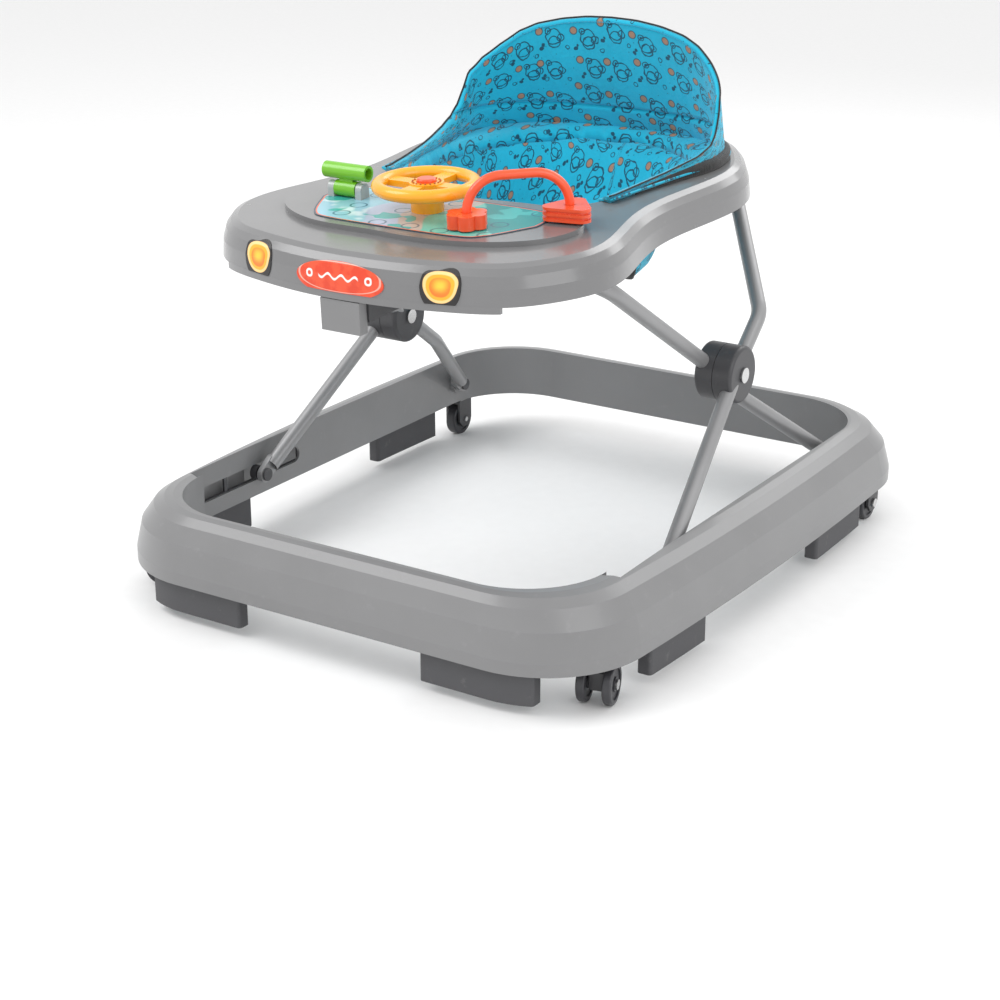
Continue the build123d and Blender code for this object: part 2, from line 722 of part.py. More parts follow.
TRACK_HALF_WIDTH = 24.0
TRACK_WALL = 5.0
TRACK_FRONT = -318.0
TRACK_BOTTOM = -28.0
TRACK_GAP = TUBE_RADIUS + 0.5
TRACK_START = track_position(FOLD_MAX) - TRACK_GAP - 1
TRACK_END = track_position(-RAISE_MAX) + TRACK_GAP + 1
UNDERSIDE = SKIRT_HEIGHT - TRAY_WALL - 0.1
CLIP_HALF_WIDTH = 12.0
CLIP_DEPTH = 15.0
FIT_HEIGHT = 15.0
FIT_SETBACK = 13.0

with BuildPart() as height_track:
    rear_end = TRACK_END + TRACK_WALL
    wide = (-TRACK_HALF_WIDTH, TRACK_HALF_WIDTH)
    add(plan_block(*wide, TRACK_FRONT, rear_end, TRACK_BOTTOM, FIT_HEIGHT))
    add(plan_block(*wide, TRACK_FRONT + FIT_SETBACK, rear_end, FIT_HEIGHT, UNDERSIDE))
    inside = TRACK_HALF_WIDTH - TRACK_WALL
    hollow = (-inside, inside, TRACK_FRONT + TRACK_WALL, TRACK_END)
    add(plan_block(*hollow, TRACK_BOTTOM - 1, FIT_HEIGHT), mode=Mode.SUBTRACT)
    slot_box = (-50, 50, TRACK_START, TRACK_END, TUBE_LINE - TRACK_GAP, TUBE_LINE + TRACK_GAP)
    add(plan_block(*slot_box), mode=Mode.SUBTRACT)
save(height_track.part, "height_track")

HANDLE_HALF_WIDTH = 22.0

with BuildPart() as adjust_handle:
    deep = (TRACK_FRONT - 12, TRACK_FRONT - LOOSE)
    add(plan_block(-HANDLE_HALF_WIDTH, HANDLE_HALF_WIDTH, *deep, TRACK_BOTTOM - 10, -CHIN_DEPTH - 1))
    finger_room = (TRACK_FRONT - 9, TRACK_FRONT + 1, TRACK_BOTTOM - 11, TRACK_BOTTOM - 2)
    add(plan_block(-16, 16, *finger_room), mode=Mode.SUBTRACT)
save(adjust_handle.part, "adjust_handle")


def pivot_clip(side):
    """Block under the tray that the rear cross tube turns in."""
    x0, x1 = sorted((side * (CLIP_X - CLIP_HALF_WIDTH), side * (CLIP_X + CLIP_HALF_WIDTH)))
    y = LINE_END
    with BuildPart() as clip:
        add(plan_block(x0, x1, y - CLIP_DEPTH, y + CLIP_DEPTH - FIT_SETBACK / 2, TUBE_LINE, FIT_HEIGHT))
        add(plan_block(x0, x1, y - CLIP_DEPTH, y - 3, FIT_HEIGHT, UNDERSIDE))
        add(along_x(x0, x1, y, TUBE_LINE, TUBE_RADIUS + 5))
        add(along_x(x0 - 5, x1 + 5, y, TUBE_LINE, TUBE_RADIUS + RUNNING * 2), mode=Mode.SUBTRACT)
    return clip.part


for name, side in SIDES.items():
    save(pivot_clip(side), f"pivot_clip_{name}")

# thin stickers on the front of the skirt
STICKER = 0.8
LIGHT_X = 103.0
LIGHT_HALF = ((0, 19), (16, 16), (19, 3), (13, -13), (0, -19))
BADGE_WIDTH = 98.0
BADGE_HEIGHT = 33.0
STICKER_HEIGHT = 17.0


def light_outline():
    """Rounded shield of one headlight sticker."""
    left = [(-x, y) for x, y in reversed(LIGHT_HALF[1:-1])]
    with BuildSketch() as outline:
        with BuildLine():
            Spline(*LIGHT_HALF, *left, periodic=True)
        make_face()
    return outline.sketch


def badge_outline():
    """Oval of the front badge."""
    with BuildSketch() as outline:
        Ellipse(BADGE_WIDTH / 2, BADGE_HEIGHT / 2)
    return outline.sketch


def skirt_sticker(outline, x, height):
    """Thin skin on the outside of the skirt, cut to an outline seen from the front."""
    origin = tray_plane().from_local_coords((x, -400, height))
    facing = Plane(origin=origin, x_dir=(1, 0, 0), z_dir=(0, -1, 0))
    with BuildPart() as sticker:
        add(tray_body(-STICKER, 1, SKIRT_HEIGHT - 1))
        add(tray_body(-0.05, 0, SKIRT_HEIGHT), mode=Mode.SUBTRACT)
        with BuildSketch(facing.offset(-150)):
            add(outline)
        extrude(amount=300, mode=Mode.INTERSECT)
    return sticker.part


for name, side in SIDES.items():
    save(skirt_sticker(light_outline(), side * LIGHT_X, STICKER_HEIGHT), f"headlight_{name}")
save(skirt_sticker(badge_outline(), 0, STICKER_HEIGHT - 1), "front_badge")

# ---------------------------------------------------------------- toys on the tray
PRINT_HALF = ((0, -250), (73, -248), (97, -236), (119, -196), (124, -180), (118, -150), (96, -136), (0, -134))
FOOT_GAP = 0.3
HUB_BOTTOM = 58.5
HUB_TOP = 70.0
HUB_TOY_RADIUS = 17.0
HORN_RADIUS = 9.5
HORN_TRAVEL = 3.0
LEVER_AXLE_RADIUS = 5.0
LEVER_RING = 8.0
LEVER_TUBE_HEIGHT = 67.0
LEVER_SUPPORT_X = (LEVER_X - 20, LEVER_X + 13)
ARCH_BEND = 33.0

with BuildPart() as dash_print:
    add(prism(closed_curve(PRINT_HALF), PLATEAU_HEIGHT, PLATEAU_HEIGHT + PRINT_THICKNESS))
    add(plan_disc(0, STEERING_Y, POST_RADIUS + FOOT_GAP, 0, 90), mode=Mode.SUBTRACT)
    for x in LEVER_SUPPORT_X:
        depth = (LEVER_Y - 7 - FOOT_GAP, LEVER_Y + 7 + FOOT_GAP)
        add(plan_block(x - FOOT_GAP, x + 7 + FOOT_GAP, *depth, 0, 90), mode=Mode.SUBTRACT)
    for x, y in ARCH_FEET:
        add(plan_disc(x, y, ARCH_ROD + 3 + FOOT_GAP, 0, 90), mode=Mode.SUBTRACT)
save(dash_print.part, "dash_print")

with BuildPart() as steering_post:
    add(plan_disc(0, STEERING_Y, POST_RADIUS, PLATEAU_HEIGHT, HUB_BOTTOM - 0.4))
    add(plan_disc(0, STEERING_Y, 5, PLATEAU_HEIGHT, HUB_BOTTOM + 3))
save(steering_post.part, "steering_post")

with BuildPart() as steering_wheel:
    centre = tray_plane(STEERING_PLANE)
    centre.origin = centre.from_local_coords((0, STEERING_Y, 0))
    add(plan_disc(0, STEERING_Y, HUB_TOY_RADIUS, HUB_BOTTOM, HUB_TOP))
    with BuildSketch(centre.offset(-4)):
        for angle in (0, 90, 180, 270):
            with Locations(Location((0, 0), angle)):
                with Locations((STEERING_RADIUS / 2, 0)):
                    Rectangle(STEERING_RADIUS - STEERING_RIM, 15)
    extrude(amount=6)
    with Locations(centre):
        Torus(STEERING_RADIUS - STEERING_RIM, STEERING_RIM)
    add(plan_disc(0, STEERING_Y, 5 + LOOSE, HUB_BOTTOM - 1, HUB_BOTTOM + 3.4), mode=Mode.SUBTRACT)
    well_floor = HUB_TOP - HORN_TRAVEL - 3
    add(plan_disc(0, STEERING_Y, HORN_RADIUS + LOOSE, well_floor, HUB_TOP + 1), mode=Mode.SUBTRACT)
save(steering_wheel.part, "steering_wheel")

with BuildPart() as horn_button:
    add(plan_disc(0, STEERING_Y, HORN_RADIUS, HUB_TOP - 2.5, HUB_TOP + 3.5))
    fillet(horn_button.edges().filter_by(GeomType.CIRCLE).sort_by(Axis.Z)[-1], radius=2)
save(horn_button.part, "horn_button")

with BuildPart() as lever_axle:
    for x in LEVER_SUPPORT_X:
        add(plan_block(x, x + 7, LEVER_Y - 7, LEVER_Y + 7, PLATEAU_HEIGHT, LEVER_AXLE_HEIGHT))
        add(along_x(x, x + 7, LEVER_Y, LEVER_AXLE_HEIGHT, 7))
    add(along_x(LEVER_SUPPORT_X[0], LEVER_SUPPORT_X[1] + 7, LEVER_Y, LEVER_AXLE_HEIGHT, LEVER_AXLE_RADIUS))
save(lever_axle.part, "lever_axle")

with BuildPart() as green_lever:
    ring_start = LEVER_SUPPORT_X[0] + 7.5
    ring_end = LEVER_SUPPORT_X[1] - 0.5
    middle = (ring_start + ring_end) / 2
    add(along_x(ring_start, ring_end, LEVER_Y, LEVER_AXLE_HEIGHT, LEVER_RING))
    add(plan_block(middle - 8, middle + 8, LEVER_Y - 3.5, LEVER_Y + 3.5, LEVER_AXLE_HEIGHT, LEVER_TUBE_HEIGHT))
    add(along_x(middle - LEVER_LENGTH / 2, middle + LEVER_LENGTH / 2, LEVER_Y, LEVER_TUBE_HEIGHT, 8))
    add(along_x(-200, 0, LEVER_Y, LEVER_TUBE_HEIGHT, 5.5), mode=Mode.SUBTRACT)
    add(along_x(-200, 0, LEVER_Y, LEVER_AXLE_HEIGHT, LEVER_AXLE_RADIUS + 0.15), mode=Mode.SUBTRACT)
save(green_lever.part, "green_lever")


def arch_plane():
    """Upright plane through both feet of the arch, its origin at the first foot on the plateau."""
    (x0, y0), (x1, y1) = ARCH_FEET
    start = tray_plane().from_local_coords((x0, y0, PLATEAU_HEIGHT))
    end = tray_plane().from_local_coords((x1, y1, PLATEAU_HEIGHT))
    along = (end - start).normalized()
    return Plane(origin=start, x_dir=along, z_dir=along.cross(tray_plane().z_dir))


with BuildPart() as arch_handle:
    span = hypot(ARCH_FEET[1][0] - ARCH_FEET[0][0], ARCH_FEET[1][1] - ARCH_FEET[0][1])
    rise = ARCH_HEIGHT - PLATEAU_HEIGHT
    places = ((0, 0), (0, rise), (span, rise), (span, 0))
    corners = [arch_plane().from_local_coords(place) for place in places]
    with BuildLine() as arch_path:
        FilletPolyline(*corners, radius=ARCH_BEND)
    with BuildSketch(Plane(origin=arch_path.line @ 0, z_dir=arch_path.line % 0)):
        Circle(ARCH_ROD)
    sweep(path=arch_path.line)
    for x, y in ARCH_FEET:
        add(plan_disc(x, y, ARCH_ROD + 3, PLATEAU_HEIGHT, PLATEAU_HEIGHT + 2))
save(arch_handle.part, "arch_handle")

BEAD_BOTTOM = PLATEAU_HEIGHT + 2.3
BEAD_HEIGHT = 13.0
BEAD_BORE = ARCH_ROD + 0.6
FLOWER_RADIUS = 20.0
TRIANGLE_RADIUS = 17.0
TRIANGLE_CORNER = 9.0

with BuildPart() as flower_bead:
    with BuildSketch(tray_plane(BEAD_BOTTOM)):
        with Locations(ARCH_FEET[0]):
            Circle(FLOWER_RADIUS - 7)
            with PolarLocations(FLOWER_RADIUS - 8, 6):
                Circle(8)
    extrude(amount=BEAD_HEIGHT)
    add(plan_disc(*ARCH_FEET[0], BEAD_BORE, 0, 90), mode=Mode.SUBTRACT)
save(flower_bead.part, "flower_bead")

with BuildPart() as triangle_bead:
    for i, grow in enumerate((0, -3, 0, -3, 0)):
        with BuildSketch(tray_plane(BEAD_BOTTOM + i * BEAD_HEIGHT / 5)):
            with Locations(ARCH_FEET[1]):
                with BuildSketch(mode=Mode.PRIVATE) as corners:
                    with PolarLocations(TRIANGLE_RADIUS + grow, 3, start_angle=-20):
                        Circle(TRIANGLE_CORNER)
                add(make_hull(corners.sketch.edges(), mode=Mode.PRIVATE))
        extrude(amount=BEAD_HEIGHT / 5)
    add(plan_disc(*ARCH_FEET[1], BEAD_BORE, 0, 90), mode=Mode.SUBTRACT)
save(triangle_bead.part, "triangle_bead")

# ---------------------------------------------------------------- seat
SEAT_LEVEL = 36.4
BACK_BASE = (
    (-133, -66), (-139, -20), (-148, 35), (-157, 80), (-158, 112), (-147, 152), (-118, 188), (-70, 210),
    (0, 217), (70, 210), (118, 188), (147, 152), (158, 112), (157, 80), (148, 35), (139, -20), (133, -66),
)
BACK_TOP = (
    (-136, -100), (-142, -50), (-152, 0), (-160, 45), (-161, 75), (-150, 108), (-118, 137), (-70, 153),
    (0, 158), (70, 153), (118, 137), (150, 108), (161, 75), (160, 45), (152, 0), (142, -50), (136, -100),
)
BACK_TOP_Z = 560.0
BACK_OUTLINE = (
    (0, 549), (30, 548), (60, 544), (90, 537), (110, 528),
    (130, 513), (145, 499), (157, 480), (166, 455), (172, 425),
)
WING_FRONT = (
    (127, 510), (120, 490), (112, 469), (102, 451), (90, 440),
    (68, 432), (42, 427), (19, 423), (-21, 418), (-60, 414),
)
SLING_LINE = (
    (198, 402), (160, 350), (119, 326), (84, 303), (34, 292), (-4, 303), (-42, 328), (-80, 366), (-106, 399),
)
HOLE_HALF = ((25, -58), (60, -76), (100, -66), (112, -20), (106, 35), (70, 58), (30, 52), (20, 0))
RIM_INNER = 1.5
RIM_OUTER = 15.0
RIM_FRONT = 30.0


def curved_band(points, thickness):
    """Closed band of even thickness inside one open curve."""
    inner = []
    for i, (x, y) in enumerate(points):
        before = points[max(i - 1, 0)]
        after = points[min(i + 1, len(points) - 1)]
        length = hypot(after[0] - before[0], after[1] - before[1])
        share = thickness / length
        inner.append((x + share * (after[1] - before[1]), y - share * (after[0] - before[0])))
    with BuildSketch() as band:
        with BuildLine():
            outside = Spline(*points)
            inside = Spline(*reversed(inner))
            Line(outside @ 1, inside @ 0)
            Line(inside @ 1, outside @ 0)
        make_face()
    return band.sketch


def seen_from_front(points, floor):
    """Outline under a curve of (x, z) points and its mirror, seen along Y."""
    left = [(-x, z) for x, z in reversed(points[1:])]
    with BuildSketch() as outline:
        with BuildLine():
            top = Spline(*left, *points)
            Polyline(top @ 1, (points[-1][0], floor), (-points[-1][0], floor), top @ 0)
        make_face()
    return outline.sketch


with BuildPart() as seat_backrest:
    with BuildSketch(tray_plane(SEAT_LEVEL)):
        add(curved_band(BACK_BASE, PADDING))
    with BuildSketch(Plane.XY.offset(BACK_TOP_Z)):
        add(curved_band(BACK_TOP, PADDING))
    loft()
    with BuildSketch(Plane(origin=(0, 400, 0), x_dir=(1, 0, 0), z_dir=(0, -1, 0))):
        add(seen_from_front(BACK_OUTLINE, 300))
    extrude(amount=800, mode=Mode.INTERSECT)
    with BuildSketch(OUT.offset(-300)):
        with BuildLine():
            wing = Spline(*WING_FRONT)
            Polyline(wing @ 1, (-200, 414), (-200, 700), (127, 700), wing @ 0)
        make_face()
    extrude(amount=600, mode=Mode.SUBTRACT)
save(seat_backrest.part, "seat_backrest")

with BuildPart() as seat_rim:
    add(prism(closed_curve(OPENING_HALF, -RIM_OUTER), SKIRT_HEIGHT + 0.1, SKIRT_HEIGHT + 3))
    add(prism(closed_curve(OPENING_HALF, -RIM_INNER), 0, 60), mode=Mode.SUBTRACT)
    add(plan_block(-200, 200, -200, -RIM_FRONT, 0, 60), mode=Mode.SUBTRACT)
    add(seat_backrest.part, mode=Mode.SUBTRACT)
save(seat_rim.part, "seat_rim")

with BuildPart() as seat_sling:
    with BuildSketch(OUT.offset(-200)):
        add(curved_band([(y, z) for y, z in SLING_LINE], FABRIC))
    extrude(amount=400)
    with BuildSketch():
        add(closed_curve(OPENING_HALF, 1.5))
    extrude(amount=800, mode=Mode.INTERSECT)
    for side in SIDES.values():
        with BuildSketch():
            with BuildLine():
                Spline(*[(side * x, y) for x, y in HOLE_HALF], periodic=True)
            make_face()
        extrude(amount=800, mode=Mode.SUBTRACT)
    with BuildSketch(tray_plane(RIM_HEIGHT - 12)):
        add(closed_curve(OPENING_HALF, 0.6))
        add(closed_curve(OPENING_HALF, 0.6 + FABRIC), mode=Mode.SUBTRACT)
    extrude(amount=SKIRT_HEIGHT - 0.5 - RIM_HEIGHT + 12)
save(seat_sling.part, "seat_sling")
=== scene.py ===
import json
import math

import bmesh
import bpy
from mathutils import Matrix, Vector


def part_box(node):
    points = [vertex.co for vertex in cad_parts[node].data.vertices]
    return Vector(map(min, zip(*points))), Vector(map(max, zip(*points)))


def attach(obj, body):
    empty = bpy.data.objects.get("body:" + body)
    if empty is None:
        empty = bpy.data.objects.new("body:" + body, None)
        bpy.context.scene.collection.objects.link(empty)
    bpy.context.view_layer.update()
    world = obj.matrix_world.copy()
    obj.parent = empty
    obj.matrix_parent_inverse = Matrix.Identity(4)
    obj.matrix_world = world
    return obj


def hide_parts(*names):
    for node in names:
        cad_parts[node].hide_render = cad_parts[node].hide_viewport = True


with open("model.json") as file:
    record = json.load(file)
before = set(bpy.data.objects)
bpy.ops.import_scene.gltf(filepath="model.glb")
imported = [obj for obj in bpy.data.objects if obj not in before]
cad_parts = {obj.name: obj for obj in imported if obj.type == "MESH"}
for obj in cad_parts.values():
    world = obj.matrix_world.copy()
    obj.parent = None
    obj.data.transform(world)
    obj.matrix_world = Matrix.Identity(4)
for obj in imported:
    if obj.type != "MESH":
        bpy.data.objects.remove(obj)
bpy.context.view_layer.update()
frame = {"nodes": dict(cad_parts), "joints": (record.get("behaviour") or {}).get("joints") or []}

# ---------------------------------------------------------------- sizes taken from the frame
MM = 0.001
TILT = math.radians(3.0)
TRAY_UP = Vector((0, -math.sin(TILT), math.cos(TILT)))
TRAY_BACK = Vector((0, math.cos(TILT), math.sin(TILT)))
TRAY_DROP = 0.013
PIVOT = Vector(next(joint["pos_m"] for joint in frame["joints"] if joint["name"] == "tray_pivot"))
TRAY_ORIGIN = PIVOT + TRAY_UP * TRAY_DROP - TRAY_BACK * (PIVOT.y * math.cos(TILT))


# ---------------------------------------------------------------- node helpers
class Tree:
    """Short calls for building one node tree."""

    def __init__(self, tree):
        self.tree = tree

    def add(self, kind, **values):
        """New node; keyword names are its properties, and numbers in `inputs` are its socket values."""
        node = self.tree.nodes.new(kind)
        for key, value in values.pop("inputs", {}).items():
            node.inputs[key].default_value = value
        for key, value in values.items():
            setattr(node, key, value)
        return node

    def link(self, source, target):
        self.tree.links.new(source, target)

    def math(self, operation, a, b=None, clamp=False):
        node = self.add("ShaderNodeMath", operation=operation, use_clamp=clamp)
        for socket, value in zip(node.inputs, (a, b)):
            if value is None:
                continue
            if isinstance(value, (int, float)):
                socket.default_value = value
            else:
                self.link(value, socket)
        return node.outputs[0]

    def noise(self, vector, scale, detail=3.0, rough=0.5):
        node = self.add("ShaderNodeTexNoise", inputs={"Scale": scale, "Detail": detail, "Roughness": rough})
        self.link(vector, node.inputs["Vector"])
        return node.outputs["Fac"]

    def ramp(self, value, low, high, out_low=0.0, out_high=1.0):
        node = self.add(
            "ShaderNodeMapRange",
            interpolation_type="SMOOTHSTEP",
            inputs={1: low, 2: high, 3: out_low, 4: out_high},
        )
        self.link(value, node.inputs[0])
        return node.outputs[0]

    def mix(self, factor, a, b, blend="MIX"):
        node = self.add("ShaderNodeMix", data_type="RGBA", blend_type=blend)
        for socket, value in ((node.inputs[0], factor), (node.inputs[6], a), (node.inputs[7], b)):
            if isinstance(value, (int, float, tuple)):
                socket.default_value = value
            else:
                self.link(value, socket)
        return node.outputs[2]


def group(name, inputs, outputs):
    """Empty shader group with named float or colour sockets."""
    tree = bpy.data.node_groups.new(name, "ShaderNodeTree")
    kinds = {"value": "NodeSocketFloat", "colour": "NodeSocketColor", "vector": "NodeSocketVector"}
    for label, kind, default in inputs:
        socket = tree.interface.new_socket(label, in_out="INPUT", socket_type=kinds[kind])
        if default is not None:
            socket.default_value = default
    for label, kind in outputs:
        tree.interface.new_socket(label, in_out="OUTPUT", socket_type=kinds[kind])
    made = Tree(tree)
    return made, made.add("NodeGroupInput"), made.add("NodeGroupOutput")


def moulded_group():
    """Moulded plastic: fine grain, faint flow marks and scuffs."""
    t, given, result = group(
        "MouldedPlastic",
        [
            ("Vector", "vector", None),
            ("Colour", "colour", (0.3, 0.3, 0.3, 1)),
            ("Grain scale", "value", 900.0),
            ("Grain height", "value", 0.00003),
            ("Roughness", "value", 0.35),
            ("Scuff", "value", 0.3),
        ],
        [("Colour", "colour"), ("Roughness", "value"), ("Height", "value")],
    )
    where = given.outputs["Vector"]
    cloud = t.noise(where, 7.0, 4)
    scuff = t.ramp(t.noise(where, 55.0, 6, 0.7), 0.58, 0.75)
    grain = t.add("ShaderNodeTexNoise", inputs={"Detail": 2.0})
    t.link(where, grain.inputs["Vector"])
    t.link(given.outputs["Grain scale"], grain.inputs["Scale"])
    tone = t.add("ShaderNodeHueSaturation")
    t.link(given.outputs["Colour"], tone.inputs["Color"])
    t.link(t.ramp(cloud, 0.3, 0.7, 0.94, 1.05), tone.inputs["Value"])
    worn = t.math("MULTIPLY", scuff, given.outputs["Scuff"])
    rubbed = t.mix(t.math("MULTIPLY", worn, 0.18), tone.outputs[0], (0.55, 0.55, 0.55, 1))
    t.link(rubbed, result.inputs["Colour"])
    varied = t.math("ADD", given.outputs["Roughness"], t.math("MULTIPLY", worn, 0.18))
    wave = t.math("MULTIPLY", t.math("SUBTRACT", cloud, 0.5), 0.12)
    t.link(t.math("ADD", varied, wave, clamp=True), result.inputs["Roughness"])
    t.link(t.math("MULTIPLY", grain.outputs["Fac"], given.outputs["Grain height"]), result.inputs["Height"])
    return t.tree


def weave_group():
    """Plain-woven cloth on UV in metres: thread bumps, slubs and soft fading."""
    t, given, result = group(
        "WovenCloth",
        [
            ("Vector", "vector", None),
            ("Colour", "colour", (0.1, 0.4, 0.6, 1)),
            ("Threads per metre", "value", 1500.0),
            ("Thread height", "value", 0.00012),
        ],
        [("Colour", "colour"), ("Roughness", "value"), ("Height", "value")],
    )
    split = t.add("ShaderNodeSeparateXYZ")
    t.link(given.outputs["Vector"], split.inputs[0])
    rate = t.math("MULTIPLY", given.outputs["Threads per metre"], math.pi)
    waves = []
    for axis in (0, 1):
        turn = t.math("MULTIPLY", split.outputs[axis], rate)
        waves.append(t.math("ABSOLUTE", t.math("SINE", turn)))
    threads = t.math("MULTIPLY", waves[0], waves[1])
    slub = t.noise(given.outputs["Vector"], 220.0, 3)
    fade = t.noise(given.outputs["Vector"], 11.0, 3)
    tone = t.add("ShaderNodeHueSaturation")
    t.link(given.outputs["Colour"], tone.inputs["Color"])
    weave = t.math("MULTIPLY", t.math("SUBTRACT", threads, 0.5), 0.12)
    uneven = t.math("MULTIPLY", t.math("SUBTRACT", slub, 0.5), 0.12)
    shade = t.math("ADD", t.ramp(fade, 0.3, 0.7, 0.92, 1.03), weave)
    t.link(t.math("ADD", shade, uneven), tone.inputs["Value"])
    t.link(tone.outputs[0], result.inputs["Colour"])
    t.link(t.ramp(slub, 0.2, 0.8, 0.72, 0.9), result.inputs["Roughness"])
    t.link(t.math("MULTIPLY", threads, given.outputs["Thread height"]), result.inputs["Height"])
    return t.tree


MOULDED = moulded_group()
WEAVE = weave_group()


def new_material(name):
    """Material with an empty node tree, its Principled shader and output joined."""
    material = bpy.data.materials.new(name)
    material.use_nodes = True
    material.node_tree.nodes.clear()
    t = Tree(material.node_tree)
    shader = t.add("ShaderNodeBsdfPrincipled")
    out = t.add("ShaderNodeOutputMaterial")
    t.link(shader.outputs[0], out.inputs[0])
    return material, t, shader


def bump(t, height, shader, distance=1.0, strength=1.0):
    """Feed a height in metres into the shader's normal."""
    node = t.add("ShaderNodeBump", inputs={"Strength": strength, "Distance": distance})
    t.link(height, node.inputs["Height"])
    t.link(node.outputs[0], shader.inputs["Normal"])


def plastic(
    name, colour, rough=0.35, grain=900.0, height=0.00003, scuff=0.3, coat=0.0, metallic=0.0, specular=0.5
):
    """Moulded or painted surface made from the shared plastic group."""
    material, t, shader = new_material(name)
    where = t.add("ShaderNodeTexCoord").outputs["Object"]
    made = t.add("ShaderNodeGroup", node_tree=MOULDED)
    values = {
        "Colour": (*colour, 1),
        "Grain scale": grain,
        "Grain height": height,
        "Roughness": rough,
        "Scuff": scuff,
    }
    for key, value in values.items():
        made.inputs[key].default_value = value
    t.link(where, made.inputs["Vector"])
    t.link(made.outputs["Colour"], shader.inputs["Base Color"])
    t.link(made.outputs["Roughness"], shader.inputs["Roughness"])
    shader.inputs["Coat Weight"].default_value = coat
    shader.inputs["Coat Roughness"].default_value = 0.12
    shader.inputs["Metallic"].default_value = metallic
    shader.inputs["Specular IOR Level"].default_value = specular
    bump(t, made.outputs["Height"], shader)
    return material


BASE_GREY = plastic("base_grey", (0.20, 0.20, 0.203), 0.36, 700.0, 0.00004, 0.35, 0.15)
TRAY_GREY = plastic("tray_grey", (0.175, 0.175, 0.178), 0.24, 500.0, 0.00001, 0.2, 0.35)
HANDLE_GREY = plastic("handle_grey", (0.21, 0.21, 0.213), 0.4, 900.0, 0.00004, 0.3)
DARK = plastic("dark_plastic", (0.048, 0.048, 0.052), 0.42, 1000.0, 0.00006, 0.5)
RUBBER = plastic("pad_rubber", (0.07, 0.07, 0.075), 0.62, 1400.0, 0.0001, 0.7)
TYRE = plastic("wheel_plastic", (0.04, 0.04, 0.045), 0.38, 800.0, 0.00005, 0.6)
STEEL = plastic("steel", (0.62, 0.62, 0.62), 0.28, 1200.0, 0.00002, 0.5, 0.0, 1.0)
SILVER = plastic("tube_silver", (0.30, 0.30, 0.305), 0.42, 1600.0, 0.00003, 0.3, 0.2, 0.45)
YELLOW = plastic("toy_yellow", (0.93, 0.40, 0.012), 0.27, 500.0, 0.00001, 0.15, 0.3)
ORANGE = plastic("toy_orange", (0.86, 0.085, 0.02), 0.28, 500.0, 0.00001, 0.15, 0.3)
GREEN = plastic("toy_green", (0.17, 0.50, 0.015), 0.28, 500.0, 0.00001, 0.15, 0.3)
CLEAR_GREY = plastic("lever_grey", (0.42, 0.45, 0.45), 0.2, 500.0, 0.00001, 0.1, 0.4)

CAD_MATERIALS = {
    "base_ring": BASE_GREY,
    "tray_shell": TRAY_GREY,
    "adjust_handle": HANDLE_GREY,
    "slot_guide": DARK,
    "height_track": DARK,
    "pivot_clip": DARK,
    "hub_inner": DARK,
    "hub_outer": DARK,
    "slot_glide": DARK,
    "rear_bracket": DARK,
    "caster_fork": DARK,
    "leg_pin": DARK,
    "pad_": RUBBER,
    "rear_wheel": TYRE,
    "caster_wheels": TYRE,
    "rear_axle": STEEL,
    "caster_axle": STEEL,
    "hub_rivet": STEEL,
    "front_frame_tube": SILVER,
    "rear_frame_tube": SILVER,
    "lever_axle": CLEAR_GREY,
    "green_lever": GREEN,
    "steering_wheel": YELLOW,
    "steering_post": YELLOW,
    "horn_button": ORANGE,
    "arch_handle": ORANGE,
    "flower_bead": ORANGE,
    "triangle_bead": ORANGE,
}


def paint(obj, material):
    """One material on the whole object."""
    obj.data.materials.clear()
    obj.data.materials.append(material)


for node_name, node in frame["nodes"].items():
    for start, material in CAD_MATERIALS.items():
        if node_name.startswith(start):
            paint(node, material)


# ---------------------------------------------------------------- mesh helpers
def tray_point(x, y, height):
    """Point over the tray: height is measured square to the tray, from the lower edge of its skirt."""
    return TRAY_ORIGIN + Vector((x, 0, 0)) + TRAY_BACK * y + TRAY_UP * height


def to_object(name, bm, material, body, smooth=True):
    """Finish a bmesh as one piece: normals out, one material, riding on a body."""
    bmesh.ops.remove_doubles(bm, verts=bm.verts, dist=1e-6)
    bmesh.ops.recalc_face_normals(bm, faces=bm.faces)
    mesh = bpy.data.meshes.new(name)
    bm.to_mesh(mesh)
    bm.free()
    for face in mesh.polygons:
        face.use_smooth = smooth
    obj = bpy.data.objects.new(name, mesh)
    bpy.context.scene.collection.objects.link(obj)
    mesh.materials.append(material)
    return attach(obj, body)


def catmull(points, count, closed=False):
    """Smooth points along a line through the given ones."""
    spans = len(points) if closed else len(points) - 1
    found = []
    for i in range(count if closed else count + 1):
        place = i * spans / count
        k = min(int(place), spans - 1)
        t = place - k

        def at(j):
            return Vector(points[j % len(points)] if closed else points[max(0, min(j, len(points) - 1))])

        a, b, c, d = at(k - 1), at(k), at(k + 1), at(k + 2)
        squared = (2 * a - 5 * b + 4 * c - d) * t**2
        found.append(0.5 * (2 * b + (c - a) * t + squared + (3 * b - a - 3 * c + d) * t**3))
    return found


